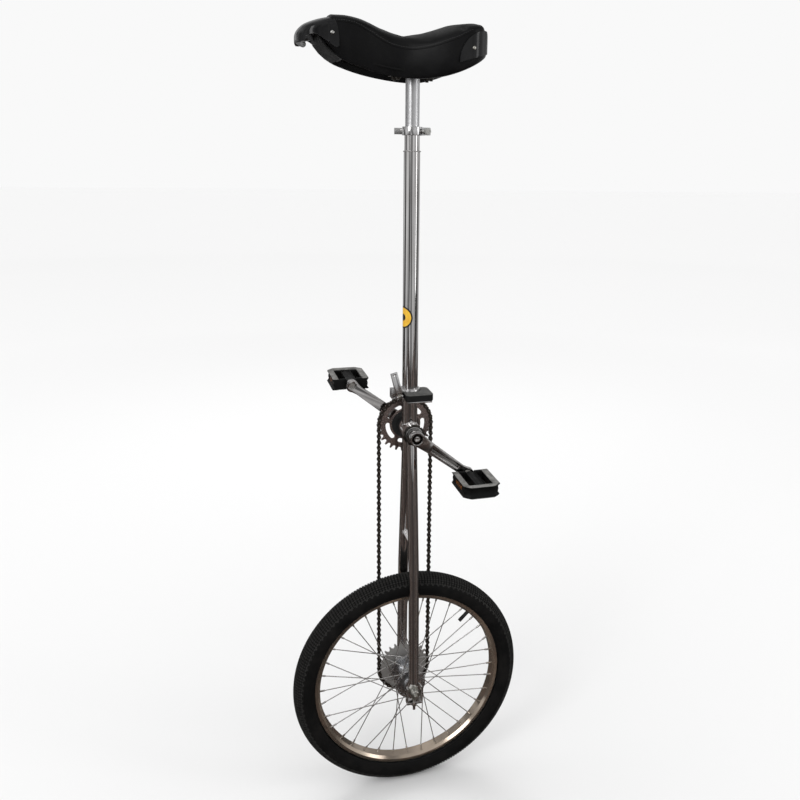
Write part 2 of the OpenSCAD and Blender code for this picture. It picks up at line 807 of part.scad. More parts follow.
module crank_right() {
    color("silver") at_cranks() rotate([0, crank_angle + 180, 0]) {
        crank_arm();
        // register that carries the chainring
        difference() {
            ycyl(16, ring_in, boss_in + 2);
            ycyl(9.6, ring_in - 1, boss_in + 3);
        }
        difference() {
            ycyl(25, ring_out + 0.05, ring_out + 3);
            ycyl(boss_d / 2 - 1, ring_in, ring_out + 4);
        }
    }
}

module crank_bolts() {
    color("lightgray") at_cranks() both_sides() difference() {
        union() {
            ycyl(10.4, boss_out - 6.9, boss_out - 5.3);
            ycyl(7, boss_out - 5.4, boss_out - 1);
        }
        yhex(6, boss_out - 4, boss_out + 1);
    }
}

module at_pedal(side) {
    a = side < 0 ? crank_angle : crank_angle + 180;
    translate([crank_l * cos(a), 0, bb_z - crank_l * sin(a)]) mirror([0, side < 0 ? 1 : 0, 0]) children();
}

axle_big = 6;
axle_small = 4.4;
module pedal_axles() {
    color("lightgray") for (side = [-1, 1]) at_pedal(side) {
        ycyl(eye_bore - 0.08, arm_in + 5, arm_out + 0.2);
        ycyl(8.6, arm_out + 0.1, arm_out + 3);
        ycyl(axle_big, arm_out + 2, pedal_in + 34);
        ycyl(axle_small, pedal_in + 33, pedal_out - 8);
    }
}

// ---------- pedals ----------
bar = 11;                                   // width of a pedal's tread bars
tread_t = 3;
module pedal_outline(grow) {
    h = pedal_l / 2 + grow;
    c = 10;
    y0 = pedal_in - grow;
    y1 = pedal_out + grow;
    polygon([[-h, y0], [h, y0], [h, y1 - c], [h - c, y1], [c - h, y1], [-h, y1 - c]]);
}
module u_outline() {
    difference() {
        pedal_outline(-1.5);
        translate([bar - pedal_l / 2, pedal_in - 1]) square([pedal_l - 2 * bar, pedal_w - bar]);
    }
}
module pedal_body() {
    body_h = pedal_t / 2 - tread_t + 1;
    difference() {
        union() {
            difference() {
                translate([0, 0, -body_h]) linear_extrude(2 * body_h) pedal_outline(0);
                for (s = [-1, 1]) translate([s * (pedal_l / 4 - 0.5 + 1), 0, 0])
                    box([-7.5, pedal_in + 7, -20], [7.5, pedal_out - bar - 1, 20]);
                for (s = [-1, 1]) translate([0, 0, s * (body_h - 1)]) linear_extrude(2, center = true) u_outline();
                box([-9, pedal_in - 1, 8], [9, pedal_out - bar, 20]);
                box([-9, pedal_in - 1, -20], [9, pedal_out - bar, -8]);
            }
            ycyl(9.5, pedal_in, pedal_out - 2);
        }
        ycyl(axle_big + run_fit, pedal_in - 1, pedal_in + 34.3);
        ycyl(axle_small + run_fit, pedal_in + 30, pedal_out - 6);
        for (s = [-1, 1]) translate([s * (pedal_l / 2), 0, 0])
            box([-2, pedal_in + 22, -4.6], [2, pedal_out - 26, 4.6]);
    }
}
module pedal_treads() {
    body_h = pedal_t / 2 - tread_t + 1;
    for (s = [-1, 1]) translate([0, 0, s * (body_h - 2 + tread_t / 2 + 0.05)])
        linear_extrude(tread_t, center = true) difference() {
            intersection() {
                u_outline();
                pedal_outline(-1.8);
            }
            translate([bar - pedal_l / 2 - 0.3, pedal_in - 2]) square([pedal_l - 2 * bar + 0.6, pedal_w - bar + 1.3]);
        }
}
module pedal_reflectors() {
    for (s = [-1, 1]) translate([s * (pedal_l / 2 - 0.9), 0, 0])
        box([-0.9, pedal_in + 22.3, -4.3], [0.9, pedal_out - 26.3, 4.3]);
}
module pedal_body_left() { color([0.07, 0.07, 0.07]) at_pedal(-1) pedal_body(); }
module pedal_body_right() { color([0.07, 0.07, 0.07]) at_pedal(1) pedal_body(); }
module pedal_treads_left() { color("gray") at_pedal(-1) pedal_treads(); }
module pedal_treads_right() { color("gray") at_pedal(1) pedal_treads(); }
module pedal_reflectors_left() { color("orange") at_pedal(-1) pedal_reflectors(); }
module pedal_reflectors_right() { color("orange") at_pedal(1) pedal_reflectors(); }

// ---------- seat ----------
module seat_post() {
    color("silver") difference() {
        translate([0, 0, plate_z - post_len]) cylinder(r = post_r, h = post_len - weld_gap);
        translate([0, 0, plate_z - post_len - 1]) cylinder(r = post_r - tube_wall, h = post_len - 4);
    }
}

bolt_x = 32;
bolt_y = 15;
module saddle_plate() {
    color("dimgray") translate([0, 0, plate_z]) linear_extrude(4) difference() {
        square([86, 48], center = true);
        for (x = [-bolt_x, bolt_x]) for (y = [-bolt_y, bolt_y]) translate([x, y]) circle(3.3);
    }
}

module saddle_bolts() {
    color("lightgray") for (x = [-bolt_x, bolt_x]) for (y = [-bolt_y, bolt_y]) translate([x, y, plate_z]) {
        translate([0, 0, -5.1]) difference() {
            cylinder(r = 10 / sqrt(3), h = 5, $fn = 6);
            translate([0, 0, -1]) cylinder(r = 3.1, h = 7);
        }
        translate([0, 0, -8]) cylinder(r = 3, h = 16);
    }
}

// side view of the saddle: a banana with a front and a rear hump
dip_x = -15;
front_hump_x = -137;
rear_hump_x = 108;
hump = 28;
dip_z = saddle_z + 77;
nose_x = -219;
tail_x = 136;
guard_front = -146;                        // rear edge of the front bumper's top
lift = plate_z + 4.1 - saddle_z;           // saddle base above the skirt's lowest edge
base_t = 3;
function wave(x, peak) = dip_z + hump * (1 - cos(180 * (x - dip_x) / (peak - dip_x))) / 2;
function guard_top(x) = dip_z + hump - 3 - 0.0033 * (x - front_hump_x) ^ 2;
function pad_top(x) =
    x < guard_front ? guard_top(x) - skin - 0.8 :
    x < dip_x ? wave(x, front_hump_x) :
    x < rear_hump_x ? wave(x, rear_hump_x) : dip_z + hump - 0.028 * (x - rear_hump_x) ^ 2;
function pad_low(x) = saddle_z + (x < 0 ? 0.00132 : 0.0027) * x * x;
// half width in plan, and its rounding towards a tip
function ease(t) = (1 - cos(180 * min(max(t, 0), 1))) / 2;
function pad_half(x) =
    x < -50 ? saddle_waist_w + (saddle_front_w - saddle_waist_w) * ease((-50 - x) / 70) :
    saddle_waist_w + (saddle_rear_w - saddle_waist_w) * ease((x + 50) / 120);
function tip_round(x, tip, len) =
    let (t = min(max(1 - abs(tip - x) / len, 0), 1)) sqrt(1 - t * t * 0.86);
function plan_half(x) = pad_half(x) * (x > 0 ? tip_round(x, tail_x, 60) : tip_round(x, nose_x, 60));
// positions from x0 to x1 on one shared grid, so that neighbouring pieces follow the same facets
grid = 9;
function stations(x0, x1) = concat([x0], [for (x = [(floor(x0 / grid + 0.2) + 1) * grid:grid:x1 - 1.5]) x], [x1]);

module side_band(xs, low, high, half) {
    side_cut(-half, half) polygon(concat(
        [for (x = xs) [x, pad_low(x) + low]],
        [for (i = [len(xs) - 1:-1:0]) [xs[i], pad_top(xs[i]) + high]]));
}
module plan_band(xs, inset) {
    translate([0, 0, saddle_z - 20]) linear_extrude(160) polygon(concat(
        [for (x = xs) [x, inset - plan_half(x)]],
        [for (i = [len(xs) - 1:-1:0]) [xs[i], plan_half(xs[i]) - inset]]));
}
// front lip of the saddle base, from the pan up to the bumper's hood
lip = [[-146, 29], [-158, 36], [-170, 46], [-180, 58], [-185, 70]];
function lip_at(grow) = [for (i = [0:len(lip) - 1]) [lip[i].x + grow * (0.7 + i * 0.08), saddle_z + lip[i].y + grow * (0.7 - i * 0.15)]];
function reversed(v) = [for (i = [len(v) - 1:-1:0]) v[i]];

module saddle_pad() {
    body = stations(-138, tail_x - 6);
    top = [for (x = reversed(stations(guard_front + 0.7, tail_x - 6))) [x, pad_top(x)]];
    under = [[-178, pad_top(-178)], [-166, pad_top(-166)],
        [guard_front + 0.6, guard_top(guard_front) - skin - 0.8]];
    color([0.06, 0.06, 0.06]) difference() {
        intersection() {
            side_cut(-120, 120) polygon(concat(
                [for (x = body) [x, pad_low(x)]], top, reversed(under), reversed(lip_at(base_t + 0.8))));
            plan_band(stations(-196, tail_x - 6), skin + 0.4);
        }
        // recess for the base, the plate and the bolts
        side_cut(-plan_half(dip_x) + 9, plan_half(dip_x) - 9) polygon(concat(
            [[-160, saddle_z - 9], [-160, saddle_z + 33], [-143, saddle_z + 33]],
            [for (x = stations(-132, tail_x - 34)) [x, pad_low(x) + lift + base_t + 0.4]],
            [[tail_x - 34, saddle_z - 9]]));
    }
}

module saddle_base() {
    xs = stations(-130, tail_x - 35);
    half = plan_half(dip_x) - 9.4;
    color([0.1, 0.1, 0.1]) difference() {
        union() {
            side_cut(-half, half) polygon(concat(
                [for (x = xs) [x, pad_low(x) + lift]], [for (x = reversed(xs)) [x, pad_low(x) + lift + base_t]]));
            side_cut(-half, half) polygon(concat(lip_at(0), reversed(lip_at(base_t))));
            side_cut(-half, half) polygon([
                [-146, saddle_z + 29], [-130, pad_low(-130) + lift], [-130, pad_low(-130) + lift + base_t],
                [-146 + 0.7 * base_t, saddle_z + 29 + 0.7 * base_t]]);
        }
        for (x = [-bolt_x, bolt_x]) for (y = [-bolt_y, bolt_y])
            translate([x, y, saddle_z]) cylinder(r = 3.3, h = 60);
    }
}

module front_bumper() {
    arc = reversed(stations(-215, guard_front));
    bar = 9;
    color([0.04, 0.04, 0.04]) difference() {
        intersection() {
            side_cut(-90, 90) polygon(concat([for (x = arc) [x, guard_top(x)]], [
                [nose_x, saddle_z + 66], [nose_x + 5, saddle_z + 54], [nose_x + 14, saddle_z + 55],
                [nose_x + 17, saddle_z + 67], [-186, saddle_z + 71], [-168, saddle_z + 62],
                [-150, saddle_z + 50], [-145, saddle_z + 60], [-143, saddle_z + 72]]));
            plan_band(stations(nose_x, -140), 0);
        }
        intersection() {
            side_cut(-90, 90) polygon(concat([for (x = arc) [max(x, nose_x + bar), guard_top(x) - skin]],
                [[nose_x + bar, saddle_z + 40], [-130, saddle_z + 40], [-130, guard_top(-137) - skin]]));
            plan_band(stations(nose_x + 1, -125), skin);
        }
    }
}

module rear_bumper() {
    reach = 60;
    color([0.04, 0.04, 0.04]) difference() {
        intersection() {
            plan_band(stations(tail_x - 80, tail_x), 0);
            translate([tail_x - 17, 0, saddle_z + 30]) ycyl(56, -120, 120);
            side_cut(-120, 120) polygon([[tail_x - 80, saddle_z + 26], [tail_x - 14, saddle_z + 46],
                [tail_x, saddle_z + 54], [tail_x + 1, saddle_z + 90], [tail_x - 80, saddle_z + 90]]);
        }
        plan_band(stations(tail_x - 90, tail_x - 5.7), skin);
    }
}

main_tube();
tube_sleeve();
bb_shell();
bb_cup_right();
bb_cup_left();
bb_lockring();
bearing_balls();
leg_left();
leg_right();
leg_bridge();
dropout_left();
dropout_right();
tensioner_bolts();
tensioner_nuts();
axle();
axle_cones();
axle_nuts();
axle_washers();
seat_clamp();
qr_bolts();
qr_nuts();
qr_washers();
chain_outer_links();
chain_inner_links();
step_clamp();
step_block();
tyre();
inner_tube();
rim();
rim_tape();
valve_stem();
valve_cap();
spokes_left();
spokes_right();
nipples();
hub_shell();
wheel_sprocket();
sprocket_lockring();
crank_spindle();
chainring();
chainring_disc();
crank_left();
crank_right();
crank_bolts();
pedal_axles();
pedal_body_left();
pedal_treads_left();
pedal_reflectors_left();
pedal_body_right();
pedal_treads_right();
pedal_reflectors_right();
seat_post();
saddle_plate();
saddle_base();
saddle_pad();
front_bumper();
rear_bumper();
saddle_bolts();
seat_clamp_lever();
step_lever();
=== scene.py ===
import json
import math

import bmesh
import bpy
import numpy as np
from bpy.props import FloatProperty, FloatVectorProperty, IntProperty, PointerProperty
from mathutils import Matrix, Vector, noise
from mathutils.bvhtree import BVHTree

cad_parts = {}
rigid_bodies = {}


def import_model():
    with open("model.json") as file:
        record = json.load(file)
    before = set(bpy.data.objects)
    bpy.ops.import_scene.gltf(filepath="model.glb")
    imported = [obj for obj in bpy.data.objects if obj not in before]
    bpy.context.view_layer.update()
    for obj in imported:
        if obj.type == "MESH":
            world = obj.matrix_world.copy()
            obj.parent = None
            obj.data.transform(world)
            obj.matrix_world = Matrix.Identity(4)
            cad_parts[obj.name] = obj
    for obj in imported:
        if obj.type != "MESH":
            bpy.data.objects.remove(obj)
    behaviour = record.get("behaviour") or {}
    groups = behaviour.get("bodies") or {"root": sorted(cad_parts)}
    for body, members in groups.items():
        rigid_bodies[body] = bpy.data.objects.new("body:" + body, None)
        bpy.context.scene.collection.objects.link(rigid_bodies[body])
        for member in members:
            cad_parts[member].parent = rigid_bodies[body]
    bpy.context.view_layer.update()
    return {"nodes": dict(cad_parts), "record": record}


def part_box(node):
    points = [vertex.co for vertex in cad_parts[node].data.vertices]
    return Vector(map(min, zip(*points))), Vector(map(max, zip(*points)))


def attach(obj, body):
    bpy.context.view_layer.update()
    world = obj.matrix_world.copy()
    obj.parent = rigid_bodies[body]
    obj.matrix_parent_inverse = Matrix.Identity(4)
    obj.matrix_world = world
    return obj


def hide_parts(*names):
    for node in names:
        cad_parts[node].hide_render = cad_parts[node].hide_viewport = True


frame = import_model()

bl_info = {
    "name": "Tall chain-driven unicycle",
    "version": (1, 0, 0),
    "blender": (4, 5, 0),
    "location": "View3D > Sidebar > Unicycle",
    "description": "Dresses the packed frame of a tall unicycle: tyre, spokes, chain, saddle and finishes",
    "category": "Object",
}

MM = 0.001
BODY_OF = {n: b for b, names in frame["record"]["behaviour"]["bodies"].items() for n in names}
SLOT_OF = {s["node"]: s["material_slot"] for s in frame["record"]["subparts"]}


def grey(v):
    return v, v, v


def middle(node):
    low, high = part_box(node)
    return (low + high) / 2


AXLE = middle("axle")                      # wheel centre
CRANKS = middle("bb_shell")                # crank centre
TYRE_R = (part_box("tyre")[1].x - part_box("tyre")[0].x) / 2
TYRE_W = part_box("tyre")[1].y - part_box("tyre")[0].y
RIM_IN = 197.4 * MM                         # radius of the rim's inner face
TUBE_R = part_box("main_tube")[1].x
SADDLE_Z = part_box("saddle_pad")[0].z       # lowest edge of the saddle
STEP_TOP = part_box("step_block")[1].z


# ---------- sizes and colours a user would change ----------
def length(name, description, default):
    return FloatProperty(name=name, description=description, default=default, unit="LENGTH")


def tint(name, description, default):
    return FloatVectorProperty(name=name, description=description, default=default, subtype="COLOR")


def number(name, description, default, least, most):
    return IntProperty(name=name, description=description, default=default, min=least, max=most)


class WheelSizes(bpy.types.PropertyGroup):
    tread_pitches: number("Tread pitches", "Times the tread pattern repeats round the tyre", 120, 60, 200)
    tread_height: length("Tread height", "Height of a tread block above the casing", 1.9 * MM)
    tyre_wall: length("Tyre wall", "Thickness of the tyre casing", 3.2 * MM)
    spoke_radius: length("Spoke radius", "Radius of a spoke", 1.0 * MM)
    spoke_pairs: number("Spokes per head side", "Spokes on each side of a flange", 9, 6, 12)


class ChainSizes(bpy.types.PropertyGroup):
    pitch: length("Pitch", "Distance between chain pins", 12.7 * MM)
    links: number("Links", "Links in the closed chain", 120, 60, 180)
    teeth: number("Teeth", "Teeth on each sprocket", 28, 16, 40)
    line: length("Chain line", "Distance of the chain from the middle plane", 40 * MM)


class SaddleSizes(bpy.types.PropertyGroup):
    pressure: FloatProperty(name="Stuffing pressure", description="How hard the foam swells the cover", default=4.0)
    most_swell: length("Most swell", "Farthest that a point of the cover may move", 3.5 * MM)
    welt: length("Welt radius", "Radius of the piping in the side seam", 1.0 * MM)
    stitch_gap: length("Stitch spacing", "Distance between stitches", 4.5 * MM)


class Finishes(bpy.types.PropertyGroup):
    chrome: tint("Chrome", "Colour of the plated tubes", (0.72, 0.71, 0.71))
    # the rim's warm tan is painted reflection of a warm floor on chrome
    rim: tint("Rim chrome", "Colour of the plated rim", (0.54, 0.46, 0.38))
    vinyl: tint("Vinyl", "Colour of the saddle cover", (0.0028, 0.0028, 0.003))
    tyre: tint("Tyre rubber", "Colour of the tyre", grey(0.0035))
    tread_grey: tint("Pedal tread", "Colour of the grey pedal treads", (0.12, 0.118, 0.113))


class StageSettings(bpy.types.PropertyGroup):
    backdrop: tint("Backdrop", "Colour of the sky behind the floor", grey(0.947))
    lens: FloatProperty(name="Lens", description="Focal length on a 36 mm sensor, in millimetres", default=36.42)


# ---------- mesh helpers ----------
def new_object(name, verts, faces, smooth_angle=None):
    mesh = bpy.data.meshes.new(name)
    mesh.from_pydata([tuple(v) for v in verts], [], faces)
    mesh.validate()
    mesh.update()
    o = bpy.data.objects.new(name, mesh)
    bpy.context.scene.collection.objects.link(o)
    if smooth_angle is not None:
        shade(o, smooth_angle)
    return o


def shade(o, degrees):
    o.data.shade_smooth()
    o.data.set_sharp_from_angle(angle=math.radians(degrees))


def outward(o):
    """Turns every face of a closed mesh outwards."""
    bm = bmesh.new()
    bm.from_mesh(o.data)
    bmesh.ops.remove_doubles(bm, verts=bm.verts, dist=1e-6)
    bmesh.ops.recalc_face_normals(bm, faces=bm.faces)
    bm.to_mesh(o.data)
    bm.free()


def bake(o):
    """Replaces o's mesh by a plain one of what its modifiers make."""
    bpy.context.view_layer.update()
    graph = bpy.context.evaluated_depsgraph_get()
    mesh = bpy.data.meshes.new_from_object(o.evaluated_get(graph), depsgraph=graph)
    o.modifiers.clear()
    old = o.data
    o.data = mesh
    bpy.data.meshes.remove(old)
    return o


def line_object(name, points, edges=()):
    """An object of loose points and edges, for a geometry node tree to work on."""
    mesh = bpy.data.meshes.new(name)
    mesh.from_pydata([tuple(p) for p in points], list(edges), [])
    o = bpy.data.objects.new(name, mesh)
    bpy.context.scene.collection.objects.link(o)
    return o


def paths_object(name, paths):
    points, edges = [], []
    for path in paths:
        edges += [(len(points) + i, len(points) + i + 1) for i in range(len(path) - 1)]
        points += path
    return line_object(name, points, edges)


def flipped(points):
    """The same points on the other side of the middle plane."""
    return [Vector((p.x, -p.y, p.z)) for p in points]


def finish_piece(o, body, material=None, stands_for=()):
    if material is not None:
        o.data.materials.clear()
        o.data.materials.append(material)
    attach(o, body)
    if stands_for:
        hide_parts(*stands_for)
    return o


def sweep(points, radii, sides):
    """Vertices and faces of a round tube along points, with its own radius at each."""
    pts = [Vector(p) for p in points]
    n = len(pts)
    radii = [radii] * n if isinstance(radii, (int, float)) else list(radii)
    verts, faces = [], []
    normal = None
    for i, p in enumerate(pts):
        t = (pts[min(i + 1, n - 1)] - pts[max(i - 1, 0)]).normalized()
        if normal is None:
            normal = t.orthogonal().normalized()
        normal = (normal - t * normal.dot(t)).normalized()
        side = t.cross(normal)
        for k in range(sides):
            w = math.tau * k / sides
            verts.append(p + (normal * math.cos(w) + side * math.sin(w)) * radii[i])
    for i in range(n - 1):
        for k in range(sides):
            a, b = i * sides + k, i * sides + (k + 1) % sides
            faces.append((a, a + sides, b + sides, b))
    faces.append(tuple(range(sides)))
    faces.append(tuple(range(n * sides - 1, (n - 1) * sides - 1, -1)))
    return verts, faces


def joined(parts):
    verts, faces = [], []
    for v, f in parts:
        base = len(verts)
        verts += [Vector(p) for p in v]
        faces += [tuple(i + base for i in face) for face in f]
    return verts, faces


def prism(outline, y0, y1):
    """A plate from an outline of (x, z) points, between two Y positions."""
    n = len(outline)
    verts = [(x, y0, z) for x, z in outline] + [(x, y1, z) for x, z in outline]
    faces = [tuple(range(n)), tuple(range(2 * n - 1, n - 1, -1))]
    faces += [(i, i + n, (i + 1) % n + n, (i + 1) % n) for i in range(n)]
    return verts, faces


def drum(r, y0, y1, sides):
    turn = [math.tau * k / sides for k in range(sides)]
    return prism([(r * math.cos(a), r * math.sin(a)) for a in turn], y0, y1)


# ---------- node helpers ----------
def add_node(tree, kind, inputs, out, settings):
    """Adds a node with its settings, links or sets its inputs, and gives one of its outputs."""
    n = tree.nodes.new(kind)
    for key, value in settings.items():
        setattr(n, key, value)
    for key, value in dict(inputs).items():
        if isinstance(value, bpy.types.NodeSocket):
            tree.links.new(value, n.inputs[key])
        else:
            n.inputs[key].default_value = value
    return n.outputs[out]


class Tree:
    """A geometry node tree under construction, with named inputs."""

    def __init__(self, name, inputs):
        self.tree = bpy.data.node_groups.new(name, "GeometryNodeTree")
        face = self.tree.interface
        face.new_socket(name="Geometry", in_out="OUTPUT", socket_type="NodeSocketGeometry")
        face.new_socket(name="Geometry", in_out="INPUT", socket_type="NodeSocketGeometry")
        self.ids = {}
        for label, kind in inputs:
            self.ids[label] = face.new_socket(name=label, in_out="INPUT", socket_type="NodeSocket" + kind).identifier
        self.start = self.tree.nodes.new("NodeGroupInput")
        self.end = self.tree.nodes.new("NodeGroupOutput")

    def add(self, kind, inputs=(), out=0, **settings):
        return add_node(self.tree, kind, inputs, out, settings)

    def shape_of(self, label):
        """Geometry of an object that is given as an input."""
        return self.add("GeometryNodeObjectInfo", {"Object": self.given(label)}, out="Geometry")

    def given(self, label):
        return self.start.outputs[label]

    def close(self, geometry):
        """Ends the tree in real geometry with its material."""
        real = self.add("GeometryNodeRealizeInstances", {0: geometry})
        done = self.add("GeometryNodeSetMaterial", {0: real, "Material": self.given("Material")})
        self.tree.links.new(done, self.end.inputs[0])

    def run(self, o, **values):
        m = o.modifiers.new(self.tree.name, "NODES")
        m.node_group = self.tree
        for label, value in values.items():
            m[self.ids[label.replace("_", " ")]] = value
        bake(o)
        return o


def tree_round_axle():
    """Repeats a part round an axle along Y. The part is given relative to the axle."""
    t = Tree("Repeat round the axle", [("Count", "Int"), ("Step", "Float"), ("Centre", "Vector"),
                                       ("Material", "Material")])
    spots = t.add("GeometryNodeMeshLine", {"Count": t.given("Count"), "Start Location": t.given("Centre"),
                                           "Offset": (0, 0, 0)})
    turn = t.add("ShaderNodeMath", {0: t.add("GeometryNodeInputIndex"), 1: t.given("Step")}, operation="MULTIPLY")
    angle = t.add("ShaderNodeCombineXYZ", {"Y": turn})
    t.close(t.add("GeometryNodeInstanceOnPoints", {"Points": spots, "Instance": t.given("Geometry"),
                                                   "Rotation": angle}))
    return t


def tree_chain():
    """Sets outer and inner links on the pins of the chain, each turned along its run."""
    t = Tree("Chain links", [("Outer link", "Object"), ("Inner link", "Object"), ("Material", "Material")])
    turn = t.add("GeometryNodeInputNamedAttribute", {"Name": "turn"}, data_type="FLOAT")
    inner = t.add("GeometryNodeInputNamedAttribute", {"Name": "inner"}, data_type="BOOLEAN")
    outer = t.add("FunctionNodeBooleanMath", {0: inner}, operation="NOT")
    angle = t.add("ShaderNodeCombineXYZ", {"Y": turn})
    sets = []
    for label, chosen in (("Outer link", outer), ("Inner link", inner)):
        sets.append(t.add("GeometryNodeInstanceOnPoints", {
            "Points": t.given("Geometry"), "Selection": chosen, "Instance": t.shape_of(label), "Rotation": angle}))
    both = t.tree.nodes.new("GeometryNodeJoinGeometry")
    for s in sets:
        t.tree.links.new(s, both.inputs[0])
    t.close(both.outputs[0])
    return t


def tree_beads():
    """Lays overlapping beads along a line, as weld ripples, or apart, as stitches."""
    t = Tree("Beads along a line", [("Spacing", "Float"), ("Length", "Float"), ("Width", "Float"),
                                    ("Jitter", "Float"), ("Material", "Material")])
    curve = t.add("GeometryNodeMeshToCurve", {0: t.given("Geometry")})
    spots = t.add("GeometryNodeResampleCurve", {"Curve": curve, "Length": t.given("Spacing")}, mode="LENGTH")
    tangent = t.add("GeometryNodeInputTangent")
    turn = t.add("FunctionNodeAlignRotationToVector", {"Vector": tangent}, axis="X")
    least = t.add("ShaderNodeMath", {0: 1.0, 1: t.given("Jitter")}, operation="SUBTRACT")
    grow = t.add("FunctionNodeRandomValue", {2: least, 3: 1.0, "Seed": 7}, out=1, data_type="FLOAT")
    size = t.add("ShaderNodeCombineXYZ", {"X": t.given("Length"), "Y": t.given("Width"), "Z": t.given("Width")})
    scale = t.add("ShaderNodeVectorMath", {0: size, "Scale": grow}, operation="SCALE")
    bead = t.add("GeometryNodeMeshIcoSphere", {"Radius": 1.0, "Subdivisions": 2})
    bead = t.add("GeometryNodeSetShadeSmooth", {0: bead})
    t.close(t.add("GeometryNodeInstanceOnPoints", {"Points": spots, "Instance": bead, "Rotation": turn,
                                                   "Scale": scale}))
    return t


def tree_screws():
    """Sets a screw head on every point, facing along the point's own direction."""
    t = Tree("Screw heads", [("Screw", "Object"), ("Material", "Material")])
    way = t.add("GeometryNodeInputNamedAttribute", {"Name": "way"}, data_type="FLOAT_VECTOR")
    turn = t.add("FunctionNodeAlignRotationToVector", {"Vector": way}, axis="Z")
    t.close(t.add("GeometryNodeInstanceOnPoints", {
        "Points": t.given("Geometry"), "Instance": t.shape_of("Screw"), "Rotation": turn}))
    return t


# ---------- materials ----------
class Paint:
    """A Principled material under construction. Patterns read Object coordinates, in metres."""

    def __init__(self, name, **sockets):
        self.m = bpy.data.materials.new(name)
        self.m.use_nodes = True
        self.nodes, self.links = self.m.node_tree.nodes, self.m.node_tree.links
        self.shader = self.nodes["Principled BSDF"]
        self.place = self.nodes.new("ShaderNodeTexCoord").outputs["Object"]
        self.height = None
        for key, value in sockets.items():
            self.shader.inputs[key.replace("_", " ")].default_value = value

    def put(self, kind, inputs=(), out=0, **settings):
        return add_node(self.m.node_tree, kind, inputs, out, settings)

    def stretched(self, scale):
        return self.put("ShaderNodeMapping", {"Vector": self.place, "Scale": scale})

    def noise(self, scale, detail=4.0, rough=0.55, where=None):
        return self.put("ShaderNodeTexNoise", {"Vector": where or self.place, "Scale": scale, "Detail": detail,
                                               "Roughness": rough}, normalize=True)

    def cells(self, scale, feature="F1", where=None):
        return self.put("ShaderNodeTexVoronoi", {"Vector": where or self.place, "Scale": scale}, feature=feature)

    def spread(self, value, low, high, to_low, to_high):
        return self.put("ShaderNodeMapRange", {"Value": value, "From Min": low, "From Max": high,
                                               "To Min": to_low, "To Max": to_high})

    def mix(self, share, a, b):
        a, b = (c if isinstance(c, bpy.types.NodeSocket) else (*c[:3], 1.0) for c in (a, b))
        return self.put("ShaderNodeMix", {0: share, 6: a, 7: b}, out=2, data_type="RGBA")

    def math(self, operation, a, b):
        return self.put("ShaderNodeMath", {0: a, 1: b}, operation=operation)

    def colour(self, value):
        self.links.new(value, self.shader.inputs["Base Color"])

    def rough(self, value):
        self.links.new(value, self.shader.inputs["Roughness"])

    def tones(self, pattern, low, high, a, b, most=1.0):
        """Colour from a to b as the pattern goes from low to high."""
        self.colour(self.mix(self.spread(pattern, low, high, 0, most), a, b))

    def rough_by(self, pattern, low, high):
        self.rough(self.spread(pattern, 0.3, 0.7, low, high))

    def bump(self, value, distance, strength=1.0):
        inputs = {"Height": value, "Distance": distance, "Strength": strength}
        if self.height is not None:
            inputs["Normal"] = self.height
        self.height = self.put("ShaderNodeBump", inputs)
        self.links.new(self.height, self.shader.inputs["Normal"])


def plated(name, colour, dull, stain, rough=(0.05, 0.16), grain=(1, 1, 1), grain_scale=500, dent=0.00002, pits=0.5,
           metal=1.0):
    """Bright metal with handling haze, hairlines along grain and a few pits."""
    p = Paint(name, Metallic=metal)
    haze = p.noise(9, 5, 0.6)
    fine = p.noise(grain_scale, 3, 0.6, p.stretched(grain))
    spots = p.spread(p.cells(620), 0.05, 0.12, 1.0, 0.0)
    speck = p.math("MULTIPLY", spots, p.spread(p.noise(60, 2), 0.56, 0.62, 0.0, pits))
    tone = p.mix(p.spread(haze, 0.35, 0.7, 0.0, 1.0), colour, dull)
    p.colour(p.mix(speck, tone, stain))
    smooth = p.math("ADD", p.spread(haze, 0.3, 0.75, *rough), p.spread(fine, 0.3, 0.7, 0.0, 0.05))
    p.rough(p.math("ADD", smooth, p.spread(speck, 0, 1, 0, 0.4)))
    p.bump(fine, dent, 0.15)
    return p.m


def moulded(name, colour, worn, rough, grain_scale, grain_depth, patch=40, coat=0.0, wear=0.35):
    """Moulded plastic or rubber with a pebbled grain, scuffs and dust in its colour."""
    p = Paint(name, Coat_Weight=coat, Coat_Roughness=0.12, Specular_IOR_Level=0.12)
    patches = p.noise(patch, 5, 0.65)
    pebble = p.cells(grain_scale)
    scuff = p.noise(260, 3, 0.7, p.stretched((1, 1, 0.25)))
    share = p.math("ADD", p.spread(patches, 0.45, 0.75, 0, wear), p.spread(scuff, 0.5, 0.7, 0, wear * 0.5))
    p.colour(p.mix(share, colour, worn))
    p.rough_by(patches, *rough)
    p.bump(pebble, grain_depth, 0.6)
    p.bump(p.noise(grain_scale * 0.35, 4, 0.6), grain_depth * 1.5, 0.4)
    return p.m


def tyre_paint(f):
    p = Paint("Tyre rubber", Specular_IOR_Level=0.12)
    dust = p.noise(22, 6, 0.65)
    p.tones(dust, 0.42, 0.75, f.tyre, (0.011, 0.0095, 0.0085), 0.7)
    p.rough_by(dust, 0.55, 0.85)
    p.bump(p.noise(900, 4, 0.7), 0.00012, 0.6)
    p.bump(p.cells(260), 0.0001, 0.3)
    return p.m


def tread_paint():
    p = Paint("Tread rubber", Specular_IOR_Level=0.2)
    scuffs_and_highlight = p.noise(180, 5, 0.7)
    # the blocks are painted lighter than the casing: partly scuffing, partly painted highlight on the block tops
    p.tones(scuffs_and_highlight, 0.35, 0.7, (0.009, 0.009, 0.0088), (0.034, 0.033, 0.031))
    p.rough_by(scuffs_and_highlight, 0.5, 0.8)
    p.bump(p.noise(1500, 3, 0.6), 0.0001, 0.5)
    return p.m


